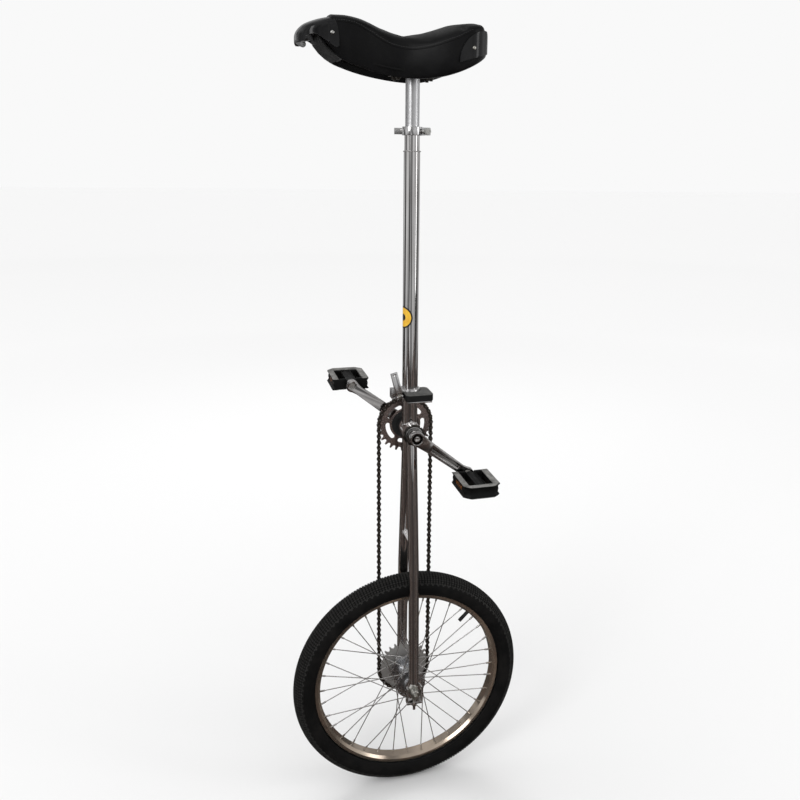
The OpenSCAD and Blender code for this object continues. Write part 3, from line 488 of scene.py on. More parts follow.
def chain_paint():
    """Oiled steel, brighter where the mesh says so."""
    p = Paint("Oiled chain", Metallic=0.85)
    grime = p.noise(400, 4, 0.65)
    oily = p.mix(p.spread(grime, 0.35, 0.65, 0, 1), (0.025, 0.021, 0.018), (0.085, 0.068, 0.055))
    worn = p.put("ShaderNodeAttribute", out=2, attribute_name="bright")
    p.colour(p.mix(worn, oily, (0.17, 0.155, 0.14)))
    p.rough_by(grime, 0.24, 0.5)
    p.bump(grime, 0.00008, 0.4)
    return p.m


def step_paint():
    """Black rubber, paler on its top face."""
    p = Paint("Step rubber", Specular_IOR_Level=0.2)
    worn = p.noise(70, 5, 0.65)
    height = p.put("ShaderNodeSeparateXYZ", {0: p.place}, out="Z")
    body = p.mix(worn, grey(0.004), grey(0.010))
    # the top face gets a paler colour by height alone
    tread = p.mix(p.spread(worn, 0.35, 0.7, 0, 1), (0.05, 0.05, 0.048), (0.115, 0.113, 0.108))
    p.tones(height, STEP_TOP - 1.9 * MM, STEP_TOP - 1.0 * MM, body, tread)
    p.rough_by(worn, 0.4, 0.7)
    p.bump(p.cells(1400), 0.0001, 0.6)
    return p.m


def vinyl_paint(f):
    """Leather-grained vinyl, handled smooth in places."""
    p = Paint("Saddle vinyl", Specular_IOR_Level=0.13)
    cast = p.noise(14, 4, 0.6)
    p.tones(cast, 0.35, 0.75, f.vinyl, (0.006, 0.006, 0.0065))
    p.rough_by(cast, 0.3, 0.46)
    p.bump(p.spread(p.cells(620, "DISTANCE_TO_EDGE"), 0.0, 0.12, 0.0, 1.0), 0.00009, 0.5)
    p.bump(p.noise(150, 4, 0.6), 0.0003, 0.25)
    return p.m


def thread_paint():
    p = Paint("Black thread", Specular_IOR_Level=0.3)
    twist = p.noise(2200, 2)
    p.colour(p.mix(twist, grey(0.02), grey(0.06)))
    p.rough_by(twist, 0.6, 0.8)
    return p.m


def pedal_tread_paint(f):
    p = Paint("Pedal tread rubber", Specular_IOR_Level=0.2)
    worn = p.noise(60, 5, 0.7)
    p.tones(worn, 0.4, 0.7, f.tread_grey, (0.27, 0.265, 0.255))
    p.rough_by(worn, 0.65, 0.9)
    p.bump(p.cells(900), 0.0003, 0.9)
    return p.m


def amber_paint():
    """Amber plastic with small prisms, painted dark as shade."""
    p = Paint("Amber reflector", Coat_Weight=0.25, Coat_Roughness=0.1)
    prisms = p.cells(420)
    # the amber is painted very dark throughout, as painted shade
    p.tones(prisms, 0.1, 0.6, (0.04, 0.011, 0.002), (0.11, 0.034, 0.004))
    p.rough(p.spread(prisms, 0.1, 0.6, 0.1, 0.25))
    p.bump(prisms, 0.0004, 0.8)
    return p.m


def bolt_paint():
    """A bright bolt end with painted shade in the recess round it, by the distance from the crank axis."""
    p = Paint("Crank bolt", Metallic=1.0)
    off_axis = p.put("ShaderNodeVectorMath", {0: p.place, 1: tuple(CRANKS)}, operation="SUBTRACT")
    flat = p.put("ShaderNodeVectorMath", {0: off_axis, 1: (1, 0, 1)}, operation="MULTIPLY")
    away = p.put("ShaderNodeVectorMath", {0: flat}, out=1, operation="LENGTH")
    # near-black beyond about 6 mm from the crank axis: painted shade in the bolt's recess
    p.tones(away, 5.4 * MM, 6.2 * MM, (0.76, 0.75, 0.74), (0.014, 0.012, 0.011))
    p.rough_by(p.noise(300, 3), 0.12, 0.34)
    p.bump(p.noise(900, 3), 0.00003, 0.3)
    return p.m


def make_finishes(f):
    """Every slot's finish by the name of the record's slot, and two for single pieces."""
    chrome, dark = f.chrome, (0.05, 0.03, 0.02)
    return {
        "frame_chrome": plated("Plated tube", chrome, (0.60, 0.58, 0.57), dark, (0.02, 0.07), (1, 1, 0.12)),
        # warm tan colour and brown dull tone on the rim: painted reflection of a warm floor
        "rim_chrome": plated("Plated rim", f.rim, (0.42, 0.34, 0.27), dark, (0.08, 0.2), (1, 1, 1), 700, metal=0.93),
        "spoke_steel": plated("Spoke steel", (0.70, 0.69, 0.68), (0.50, 0.48, 0.46), dark, (0.14, 0.28)),
        "crank_steel": plated("Crank steel", (0.50, 0.485, 0.48), (0.34, 0.325, 0.31), dark, (0.07, 0.18), (0.2, 1, 1)),
        "chainring_chrome": plated("Chainring steel", (0.50, 0.43, 0.41), (0.34, 0.26, 0.24), dark, (0.16, 0.32)),
        "sprocket_steel": plated("Sprocket steel", (0.42, 0.41, 0.40), (0.30, 0.28, 0.26), dark, (0.34, 0.5),
                                 metal=0.55),
        "hub_alloy": plated("Hub alloy", (0.70, 0.71, 0.73), (0.52, 0.52, 0.53), dark, (0.16, 0.3), (1, 0.1, 1)),
        "clamp_alloy": plated("Clamp alloy", (0.74, 0.74, 0.75), (0.58, 0.57, 0.56), dark, (0.12, 0.26), pits=0.7),
        "post_alloy": plated("Seat post alloy", (0.74, 0.74, 0.75), (0.62, 0.62, 0.63), dark, (0.28, 0.4),
                             (1, 1, 0.05), 900, 0.00003, 0.2),
        "fastener_zinc": plated("Zinc", (0.60, 0.60, 0.58), (0.42, 0.40, 0.34), (0.2, 0.12, 0.06), (0.2, 0.42),
                                pits=0.9),
        "bearing_steel": plated("Ground steel", grey(0.52), (0.36, 0.35, 0.34), dark, (0.12, 0.3), (1, 0.1, 1)),
        "dark_steel": plated("Blackened steel", (0.055, 0.053, 0.05), (0.10, 0.09, 0.08), (0.2, 0.12, 0.07),
                             (0.3, 0.5)),
        "tyre_rubber": tyre_paint(f),
        "tread": tread_paint(),
        "chain_steel": chain_paint(),
        "step_rubber": step_paint(),
        "tube_rubber": moulded("Tube rubber", grey(0.015), grey(0.05), (0.4, 0.6), 2400, 0.00004),
        "black_cap": moulded("Cap plastic", grey(0.012), grey(0.05), (0.35, 0.55), 3000, 0.00003),
        "tape_cloth": moulded("Rim tape", (0.62, 0.60, 0.54), (0.40, 0.37, 0.30), (0.8, 0.95), 1500, 0.0001),
        "guard_black": moulded("Guard plastic", grey(0.014), (0.06, 0.06, 0.058), (0.3, 0.5), 2600, 0.00003),
        "pedal_black": moulded("Pedal plastic", grey(0.004), (0.011, 0.011, 0.0107), (0.38, 0.6), 1600, 0.00006),
        "pedal_grey": pedal_tread_paint(f),
        "reflector_amber": amber_paint(),
        "saddle_base_plastic": moulded("Base plastic", grey(0.004), grey(0.010), (0.4, 0.6), 1300, 0.00007),
        "saddle_vinyl": vinyl_paint(f),
        "bumper_gloss": moulded("Bumper plastic", (0.005, 0.005, 0.0054), (0.013, 0.013, 0.014), (0.14, 0.28), 2200,
                                0.00001, 30, 0.3, 0.3),
        "crank_bolts": bolt_paint(),
    }


FINISH = {}


# ---------- saddle shape: one rule for the cover and both bumpers ----------
NOSE, TAIL = -219 * MM, 136 * MM
DIP_X, FRONT_HUMP, REAR_HUMP, HUMP = -15 * MM, -137 * MM, 108 * MM, 28 * MM
DIP_Z = SADDLE_Z + 77 * MM
HOOD_END = -165 * MM
HOOD_BACK = -148 * MM                       # where the hood's cheeks reach back to
LIP_X = -145.5 * MM                         # where the skirt turns up towards the nose
NOSE_R = 17 * MM


def ease(t):
    return (1 - math.cos(math.pi * min(max(t, 0), 1))) / 2


def top_line(x):
    if x < DIP_X:
        return DIP_Z + HUMP * ease((x - DIP_X) / (FRONT_HUMP - DIP_X)) if x > FRONT_HUMP else DIP_Z + HUMP
    if x < REAR_HUMP:
        return DIP_Z + HUMP * ease((x - DIP_X) / (REAR_HUMP - DIP_X))
    return DIP_Z + HUMP - 28 * (x - REAR_HUMP) ** 2


def hood_top(x):
    """Top of the front hood, rounded off at the nose."""
    t = min(max((NOSE + NOSE_R - x) / NOSE_R, 0), 1)
    return DIP_Z + HUMP - 2.6 * MM - 3.3 * (x - FRONT_HUMP) ** 2 - 13 * MM * (1 - math.sqrt(1 - t * t))


def shoulder(x):
    """How far the side seam lies below the top: less towards both ends."""
    return (27 - 11 * ease((-50 * MM - x) / (90 * MM)) - 8 * ease((x - 50 * MM) / (55 * MM))) * MM


def low_line(x):
    return SADDLE_Z + (1.32 if x < 0 else 2.7) * x * x


def half_width(x):
    if x < -50 * MM:
        w = 52 * MM + 8 * MM * ease((-50 * MM - x) / (70 * MM))
    else:
        w = 52 * MM + 43 * MM * ease((x + 50 * MM) / (120 * MM))
    tip, length, p, q = (TAIL, 60 * MM, 2.6, 2.2) if x > 0 else (NOSE, 55 * MM, 3.2, 2.3)
    t = max(1 - abs(tip - x) / length, 0)
    return w * max(1 - t ** p, 0) ** (1 / q)


ROUND = 2.7                                 # how square the section's shoulders are
BASE_HALF = 46 * MM                         # half the width of the base inside the skirt
CLOTH_FRAMES = 20


def section_point(x, w, top, drop, side, t):
    """A point of the section over the saddle: t is 0 at the shoulder's foot and 1 at the middle."""
    a = t * math.pi / 2
    y = w * (math.cos(a) ** (2 / ROUND) if t < 1 else 0.0)
    z = top - drop + drop * (math.sin(a) ** (2 / ROUND) if t > 0 else 0.0)
    return Vector((x, side * y, z))


def loft(rings, close_loop=True, caps=True):
    n, m = len(rings[0]), len(rings)
    verts = [v for r in rings for v in r]
    faces = []
    for i in range(m - 1):
        for k in range(n if close_loop else n - 1):
            a, b = i * n + k, i * n + (k + 1) % n
            faces.append((a, b, b + n, a + n))
    if caps and close_loop:
        faces.append(tuple(range(n - 1, -1, -1)))
        faces.append(tuple(range((m - 1) * n, m * n)))
    return verts, faces


def spaced(x0, x1, step, round0, round1):
    """Positions from x0 to x1, crowding towards a rounded end."""
    xs = []
    if round0:
        xs += [x0 + round0 * (1 - math.cos(a * math.pi / 28)) for a in range(0, 14)]
    first, last = x0 + round0, x1 - round1
    count = max(int((last - first) / step), 1)
    xs += [first + (last - first) * i / count for i in range(count + 1)]
    if round1:
        xs += [x1 - round1 * (1 - math.sin(a * math.pi / 28)) for a in range(1, 15)]
    return sorted(set(round(x, 6) for x in xs))


def cover_ring(x):
    """One section of the cover: over the top, down the sides, round the skirt's edge and up inside it."""
    inset = 3.2 * MM
    w = max(half_width(x) - inset, 0.4 * MM)
    under_hood = x < HOOD_END
    top = hood_top(x) - 3.4 * MM if under_hood else top_line(x)
    foot = low_line(x) if x > LIP_X else low_line(LIP_X) + (LIP_X - x) * 1.05
    foot = min(foot, top - 16 * MM)
    drop = min(shoulder(x), (top - foot) * 0.55)
    roof = min(low_line(x) + 16.2 * MM if x > -132 * MM else foot + 5 * MM, top - 10 * MM)
    inner = min(44.5 * MM, w * 0.86) if x > -132 * MM else w * 0.8
    if x > TAIL - 36 * MM:
        inner = w * 0.5
        roof = foot + 2 * MM
    tuck = min(5 * MM, w * 0.12)
    half = [section_point(x, w, top, drop, 1, t / 12) for t in range(12, -1, -1)]
    z0 = half[-1].z
    for k in range(1, 9):
        t = k / 8
        half.append(Vector((x, w + 1.2 * MM * math.sin(math.pi * t) - tuck * t ** 3, z0 + (foot + 2 * MM - z0) * t)))
    edge = half[-1].y
    lip = (edge + inner) / 2
    half.append(Vector((x, edge - (edge - lip) * 0.35, foot + 0.4 * MM)))
    half.append(Vector((x, lip, foot)))
    half.append(Vector((x, inner + (lip - inner) * 0.3, foot + 0.8 * MM)))
    half.append(Vector((x, inner, foot + 3 * MM if roof - foot > 6 * MM else foot + 1 * MM)))
    half.append(Vector((x, inner * 0.97, roof)))
    for k in (0.75, 0.5, 0.25, 0):
        half.append(Vector((x, inner * k, roof)))
    return half + flipped(half[-2:0:-1])


def swell(o, pinned, settings):
    """Swells the cover with cloth under pressure, and caps how far a point moves."""
    rest = np.array([v.co for v in o.data.vertices])
    group = o.vertex_groups.new(name="pinned")
    for i, weight in enumerate(pinned):
        group.add([i], weight, "REPLACE")
    m = o.modifiers.new("Cloth", "CLOTH")
    m.settings.use_pressure = True
    m.settings.uniform_pressure_force = settings.pressure
    m.settings.effector_weights.gravity = 0
    m.settings.vertex_group_mass = "pinned"
    m.settings.tension_stiffness = m.settings.compression_stiffness = 12
    m.settings.bending_stiffness = 2
    m.settings.quality = 6
    m.point_cache.frame_start, m.point_cache.frame_end = 1, CLOTH_FRAMES
    scene = bpy.context.scene
    for f in range(1, CLOTH_FRAMES + 1):
        scene.frame_set(f)
    graph = bpy.context.evaluated_depsgraph_get()
    moved = np.array([v.co for v in o.evaluated_get(graph).data.vertices])
    o.modifiers.remove(m)
    o.vertex_groups.clear()
    scene.frame_set(1)
    shift = moved - rest
    far = np.linalg.norm(shift, axis=1, keepdims=True)
    shift *= np.minimum(1, settings.most_swell / np.maximum(far, 1e-9))
    o.data.vertices.foreach_set("co", (rest + shift).ravel())
    o.data.update()


def creases(o, free):
    """Small pulls and dimples in the cover, strongest in the dip and by the bumpers."""
    normals = [v.normal.copy() for v in o.data.vertices]
    for v, n, share in zip(o.data.vertices, normals, free):
        if share <= 0:
            continue
        p = v.co
        pull = noise.noise(Vector((p.x * 55, p.y * 22, p.z * 30)))
        fine = noise.noise(Vector((p.x * 160, p.y * 60, p.z * 90)) + Vector((5, 1, 3)))
        v.co = p + n * share * (pull * 0.6 + fine * 0.22) * MM
    o.data.update()


def seam_height(seam_z, x):
    return seam_z[min(seam_z, key=lambda k: abs(k - x))]


def looseness(p):
    """How free a point of the cover is to move: 0 where the bumpers, the base or the hem hold it."""
    if abs(p.y) < BASE_HALF and p.z < low_line(p.x) + 17 * MM:
        return 0
    ends = ease((p.x - (HOOD_BACK if p.z < SADDLE_Z + 88 * MM else HOOD_END)) / (16 * MM))
    ends *= ease((76 * MM - p.x) / (16 * MM)) if p.z < SADDLE_Z + 82 * MM else 1
    return ends * ease((p.z - low_line(p.x) - 6 * MM) / (14 * MM))


def side_hit(tree, x, z, side):
    """Where a level line from one side meets a surface, and the normal there."""
    return tree.ray_cast(Vector((x, side * 0.2, z)), Vector((0, -side, 0)))[:2]


def seam_run(tree, seam_z, side, rise, sink):
    """A smoothed line along one side of the cover, above its seam by rise and sunk in by sink."""
    line = []
    for i in range(81):
        x = HOOD_END + 4 * MM + i * 3.1 * MM
        hit, normal = side_hit(tree, x, seam_height(seam_z, x) + rise, side)
        if hit is not None:
            line.append(hit - normal * sink)
    return [line[0], *((a + b * 2 + c) / 4 for a, b, c in zip(line, line[1:], line[2:])), line[-1]]


class UNICYCLE_OT_saddle_cover(bpy.types.Operator):
    """Padded vinyl cover of the saddle, with its side seam and stitches"""
    bl_idname = "unicycle.saddle_cover"
    bl_label = "Saddle cover"

    def execute(self, context):
        settings = context.scene.unicycle_saddle
        xs = spaced(-190 * MM, TAIL - 5 * MM, 4.2 * MM, 12 * MM, 24 * MM)
        rings = [cover_ring(x) for x in xs]
        verts, faces = loft(rings)
        cover = new_object("saddle_cover", verts, faces)
        outward(cover)
        seam_z = {round(x, 6): r[12].z for x, r in zip(xs, rings)}
        pins, free = [], []
        for v in cover.data.vertices:
            x, y, z = v.co
            loose = looseness(v.co)
            on_seam = 1 - min(abs(z - seam_height(seam_z, x)) / (3.5 * MM), 1)
            on_side = abs(y) > half_width(x) * 0.8
            pins.append(1 - loose * (1 - 0.93 * on_seam * on_side))
            free.append(loose)
        swell(cover, pins, settings)
        creases(cover, free)
        m = cover.modifiers.new("Subdivision", "SUBSURF")
        m.levels = m.render_levels = 1
        bake(cover)
        cover.data.shade_smooth()
        finish_piece(cover, "seat", FINISH["saddle_vinyl"], ("saddle_pad",))

        tree = BVHTree.FromObject(cover, context.evaluated_depsgraph_get())
        seams = [seam_run(tree, seam_z, side, 0, 0.35 * settings.welt) for side in (-1, 1)]
        stitched = [seam_run(tree, seam_z, side, 3.4 * MM, 0.1 * MM) for side in (-1, 1)]
        welt = new_object("saddle_welt", *joined([sweep(r, settings.welt, 8) for r in seams]), 60)
        finish_piece(welt, "seat", FINISH["saddle_vinyl"])
        stitches = paths_object("saddle_stitches", stitched)
        tree_beads().run(stitches, Spacing=settings.stitch_gap, Length=1.7 * MM, Width=0.42 * MM, Jitter=0.0,
                         Material=thread_paint())
        finish_piece(stitches, "seat")
        return {"FINISHED"}


def shell(name, outer, thick, bevel):
    """A shell from rows of outer points, given its wall inwards and softened edges."""
    verts, faces = joined([loft(rows, close_loop=False, caps=False) for rows in outer])
    o = new_object(name, verts, faces)
    bm = bmesh.new()
    bm.from_mesh(o.data)
    bmesh.ops.remove_doubles(bm, verts=bm.verts, dist=1e-4)
    bmesh.ops.recalc_face_normals(bm, faces=bm.faces)
    centre = sum((v.co for v in bm.verts), Vector()) / len(bm.verts)
    lean = sum((f.normal.dot(f.calc_center_median() - centre) * f.calc_area() for f in bm.faces))
    if lean < 0:
        bmesh.ops.reverse_faces(bm, faces=bm.faces)
    bm.to_mesh(o.data)
    bm.free()
    m = o.modifiers.new("Wall", "SOLIDIFY")
    m.thickness, m.offset = thick, -1
    m = o.modifiers.new("Edges", "BEVEL")
    m.width, m.segments, m.limit_method, m.angle_limit = bevel, 3, "ANGLE", math.radians(50)
    bake(o)
    shade(o, 50)
    return o


def hood_foot(x):
    xs = [-219, -214, -207, -200, -194, -186, -172, -158, -152, -148]
    zs = [60, 54.5, 55.5, 64, 68, 66, 57, 48, 45.5, 49]
    return SADDLE_Z + float(np.interp(x / MM, xs, zs)) * MM


def guard_low(x):
    return SADDLE_Z + float(np.interp(x / MM, [56, 122, 136], [26, 46, 54])) * MM


def guard_high(x):
    reach = (56 * MM) ** 2 - (min(x, 119 * MM) - 119 * MM) ** 2
    return SADDLE_Z + 30 * MM + math.sqrt(max(reach, 0))


def screw_head():
    """A pan head, its face towards +Z."""
    rows = [(2.0, 1.4), (3.2, 0.9), (3.7, 0.0), (3.7, -0.8)]
    sides = 16
    verts, faces = [], []
    for r, z in rows:
        verts += [(r * MM * math.cos(math.tau * k / sides), r * MM * math.sin(math.tau * k / sides), z * MM)
                  for k in range(sides)]
    for i in range(len(rows) - 1):
        for k in range(sides):
            a, b = i * sides + k, i * sides + (k + 1) % sides
            faces.append((a, a + sides, b + sides, b))
    faces.append(tuple(range(sides)))
    faces.append(tuple(range(len(verts) - 1, len(verts) - 1 - sides, -1)))
    return new_object("screw_pattern", verts, faces, 40)


def cut_at(points, ceiling):
    """The run of points up to a height, ending on it."""
    kept = []
    for a, b in zip(points, points[1:]):
        kept.append(a)
        if b.z > ceiling:
            return kept + [a.lerp(b, min(max((ceiling - a.z) / (b.z - a.z), 0), 1))]
    return kept + [points[-1]]


def evened(points, count):
    """The same run of points in equal steps."""
    run = [0]
    for a, b in zip(points, points[1:]):
        run.append(run[-1] + (b - a).length)
    even = []
    for k in range(count):
        d = run[-1] * k / (count - 1)
        n = max(m for m in range(len(run) - 1) if run[m] <= d + 1e-12)
        step = run[n + 1] - run[n]
        even.append(points[n].lerp(points[n + 1], (d - run[n]) / step if step > 1e-12 else 0))
    return even


def hood_shell():
    """The front hood: a cap over the nose, and two cheeks that round off behind it."""
    rows, cheeks = [], []
    cap = spaced(NOSE, HOOD_END, 2.6 * MM, 26 * MM, 0)
    for x in cap + spaced(HOOD_END, HOOD_BACK, 1.6 * MM, 0, 6 * MM)[1:]:
        w, top, foot = max(half_width(x), 0.05 * MM), hood_top(x), hood_foot(x)
        drop = min(shoulder(x) + 2 * MM, (top - foot) * 0.7)
        over = [section_point(x, w, top, drop, 1, t / 12) for t in range(0, 13)]
        half = [Vector((x, w, foot + (over[0].z - foot) * k / 7)) for k in range(7)] + over
        if x <= HOOD_END:
            rows.append(half + flipped(half[-2::-1]))
        if x >= HOOD_END:
            reach = (x - HOOD_END) / (HOOD_BACK - HOOD_END)
            ceiling = foot + (top - foot) * (0.12 + 0.88 * math.sqrt(max(1 - reach ** 2.2, 0)))
            cheeks.append(evened(cut_at(half, ceiling), 20))
    return shell("front_hood", [rows, cheeks, [flipped(row) for row in cheeks]], 2.7 * MM, 0.9 * MM)


def guard_shell():
    """The rear bumper: a band round the tail, whose ends round off along the sides."""
    rows = []
    for x in spaced(63.2 * MM, TAIL - 0.05 * MM, 2.6 * MM, 3 * MM, 40 * MM):
        w, low, top, drop = half_width(x), guard_low(x), top_line(x), shoulder(x)
        high = max(guard_high(x), low + 0.6 * MM)
        row = []
        for k in range(15):
            z = low + (min(high, top - 1.5 * MM) - low) * k / 14
            up = min(max(z - (top - drop), 0) / drop, 1)
            row.append(Vector((x, w * max(1 - up ** ROUND, 0) ** (1 / ROUND), z)))
        rows.append(row)
    return shell("rear_guard", [rows + [flipped(row) for row in rows[::-1]]], 3.0 * MM, 0.9 * MM)


def bumper_screws(places):
    """Screw heads on the bumpers' sides, from (piece, x, z)."""
    graph = bpy.context.evaluated_depsgraph_get()
    hits = []
    for piece, x, z in places:
        tree = BVHTree.FromObject(piece, graph)
        for side in (-1, 1):
            hit, normal = side_hit(tree, x, z, side)
            if hit is None:
                raise RuntimeError(f"no wall for a screw on {piece.name}")
            hits.append((hit, normal))
    screws = line_object("bumper_screws", [p for p, _ in hits])
    way = screws.data.attributes.new("way", "FLOAT_VECTOR", "POINT")
    way.data.foreach_set("vector", np.array([tuple(n) for _, n in hits], np.float32).ravel())
    pattern = screw_head()
    tree_screws().run(screws, Screw=pattern, Material=FINISH["fastener_zinc"])
    bpy.data.objects.remove(pattern)
    return screws


class UNICYCLE_OT_bumpers(bpy.types.Operator):
    """Glossy front hood with its grip bar, rear bumper, and the screws that hold them"""
    bl_idname = "unicycle.bumpers"
    bl_label = "Saddle bumpers"

    def execute(self, context):
        gloss = FINISH["bumper_gloss"]
        hood = hood_shell()
        finish_piece(hood, "seat", gloss, ("front_bumper",))
        path = []
        for k in range(-24, 25):
            a = k / 24
            x = NOSE + (6.2 + 15 * a * a) * MM
            path.append((x, a * (half_width(x) - 3 * MM), SADDLE_Z + 61 * MM))
        bar = new_object("grip_bar", *sweep(path, 6 * MM, 20), 60)
        finish_piece(bar, "seat", gloss)
        guard = guard_shell()
        finish_piece(guard, "seat", gloss, ("rear_bumper",))
        screws = bumper_screws(((hood, -160 * MM, SADDLE_Z + 70 * MM), (guard, 90 * MM, SADDLE_Z + 54 * MM)))
        finish_piece(screws, "seat")
        return {"FINISHED"}


# ---------- wheel ----------
def tread_block(angle, half_long, half_wide, height, around):
    """One block, at an angle across the crown, at a place round the tyre, relative to the axle."""
    crown = TYRE_R - TYRE_W / 2
    base = TYRE_W / 2 - height
    verts = []
    for lift, shrink in ((-0.3 * MM, 1.0), (height, 0.82)):
        for du, dv in ((-1, -1), (1, -1), (1, 1), (-1, 1)):
            a = angle + dv * half_wide * shrink / base
            r = crown + (base + lift) * math.cos(a)
            t = around + du * half_long * shrink / r
            verts.append((r * math.cos(t), (base + lift) * math.sin(a), -r * math.sin(t)))
    faces = [(4, 5, 6, 7), (0, 1, 5, 4), (1, 2, 6, 5), (2, 3, 7, 6), (3, 0, 4, 7), (3, 2, 1, 0)]
    return verts, faces


class UNICYCLE_OT_tyre(bpy.types.Operator):
    """Casing with moulded side ribs, and a block tread repeated round it"""
    bl_idname = "unicycle.tyre"
    bl_label = "Tyre"

    def execute(self, context):
        s = context.scene.unicycle_wheel
        crown = TYRE_R - TYRE_W / 2
        outline = []
        for k in range(-64, 65):
            a = math.radians(k * 2)
            ab = abs(math.degrees(a))
            grow = TYRE_W / 2 - s.tread_height * (1 - ease((ab - 62) / 10))
            grow -= 0.45 * MM * (1 if 76 < ab < 80 else 0) + 0.35 * MM * (1 if 102 < ab < 105 else 0)
            grow -= 0.25 * MM if ab >= 112 else 0
            outline.append((crown + grow * math.cos(a), grow * math.sin(a)))
        inner = TYRE_W / 2 - s.tread_height - s.tyre_wall
        for k in range(64, -65, -4):
            a = math.radians(k * 2)
            outline.append((crown + inner * math.cos(a), inner * math.sin(a)))
        turns = 216
        rings = [[Vector((r * math.cos(math.tau * i / turns), y, AXLE.z - r * math.sin(math.tau * i / turns)))
                  for r, y in outline] for i in range(turns)]
        verts, faces = loft(rings + [rings[0]], caps=False)
        casing = new_object("tyre_casing", verts, faces)
        outward(casing)
        shade(casing, 42)
        finish_piece(casing, "wheel", FINISH["tyre_rubber"], ("tyre",))

        step = math.tau / s.tread_pitches
        parts = []
        for row in range(-6, 7):
            angle = math.radians(row * 10.2)
            wide = 1.5 * MM if abs(row) < 6 else 1.8 * MM
            long = (2.35 if row % 2 == 0 else 1.9) * MM
            shift = step * (0.25 if row % 2 else -0.25)
            for half in (0, 1):
                parts.append(tread_block(angle, long, wide, s.tread_height, shift + half * step / 2))
        for side in (-1, 1):
            parts.append(tread_block(side * math.radians(70), 2.2 * MM, 3.2 * MM, 0.8 * MM, 0))
        tread = new_object("tyre_tread", *joined(parts))
        outward(tread)
        tree_round_axle().run(tread, Count=s.tread_pitches, Step=step, Centre=AXLE, Material=FINISH["tread"])
        finish_piece(tread, "wheel")
        return {"FINISHED"}


FLANGE_Y = {-1: -29 * MM, 1: 24 * MM}       # the flanges' middles, left and right
SPOKE_CIRCLE, FLANGE_T, HOLE_SIDE = 29 * MM, 3 * MM, 2.4 * MM


def polar(r, degrees, y):
    a = math.radians(degrees)
    return Vector((r * math.cos(a), y, r * math.sin(a)))


class UNICYCLE_OT_spokes(bpy.types.Operator):
    """Crossed spokes with bent heads, and their nipples, repeated round the hub"""
    bl_idname = "unicycle.spokes"
    bl_label = "Spokes and nipples"

    def execute(self, context):
        s = context.scene.unicycle_wheel
        repeat = tree_round_axle()
        step = 360 / s.spoke_pairs
        repeats = {"Count": s.spoke_pairs, "Step": -math.radians(step), "Centre": AXLE,
                   "Material": FINISH["spoke_steel"]}
        nipple_parts = []
        for side, name in ((-1, "left"), (1, "right")):
            parts = []
            for k in (0, 1):
                head = 1 if k == 0 else -1
                turn = k * step / 2 + (step / 4 if side > 0 else 0)
                flange = FLANGE_Y[side]
                off = FLANGE_T / 2 + s.spoke_radius + (1.5 if head == side else 0.1) * MM
                start = polar(SPOKE_CIRCLE, turn, flange + head * off)
                end = polar(RIM_IN - 9 * MM, turn + head * 60, side * HOLE_SIDE)
                way = (end - start).normalized()
                face = flange - head * (FLANGE_T / 2 + 0.1 * MM)
                base = polar(SPOKE_CIRCLE, turn, face)
                out = Vector((0, head, 0))
                line = [base - out * 1.4 * MM, base - out * 0.2 * MM, base, base + out * 0.3 * MM]
                radii = [1.9 * s.spoke_radius, 1.9 * s.spoke_radius, 1.3 * s.spoke_radius, s.spoke_radius]
                bend = 1.6 * MM
                a, b = start - out * bend, start + way * bend
                for t in (0, 0.25, 0.5, 0.75, 1):
                    line.append(a * (1 - t) ** 2 + start * 2 * t * (1 - t) + b * t * t)
                    radii.append(s.spoke_radius)
                line.append(end)
                radii.append(s.spoke_radius)
                parts.append(sweep(line, radii, 10))
                tube = [(-2.0, 1.5), (-1.6, 1.9), (11.5, 1.9), (11.7, 3.0), (12.5, 3.0), (12.9, 2.3)]
                nipple_parts.append(sweep([end + way * d * MM for d, _ in tube], [r * MM for _, r in tube], 12))
            spokes = new_object("spoke_set_" + name, *joined(parts), 40)
            repeat.run(spokes, **repeats)
            finish_piece(spokes, "wheel", None, ("spokes_" + name,))
        nipples = new_object("nipple_set", *joined(nipple_parts), 40)
        repeat.run(nipples, **repeats)
        finish_piece(nipples, "wheel", None, ("nipples",))
        return {"FINISHED"}


# ---------- chain ----------
def plate_outline(pitch):
    """Waisted outline of a link plate, from one pin to the next."""
    r, waist = 4.3 * MM, 2.0 * MM
    points = []
    for k in range(13):
        a = math.radians(90 + k * 15)
        points.append((r * math.cos(a), r * math.sin(a)))
    points.append((pitch / 2, -waist))
    for k in range(13):
        a = math.radians(-90 + k * 15)
        points.append((pitch + r * math.cos(a), r * math.sin(a)))
    points.append((pitch / 2, waist))
    return points[::-1]


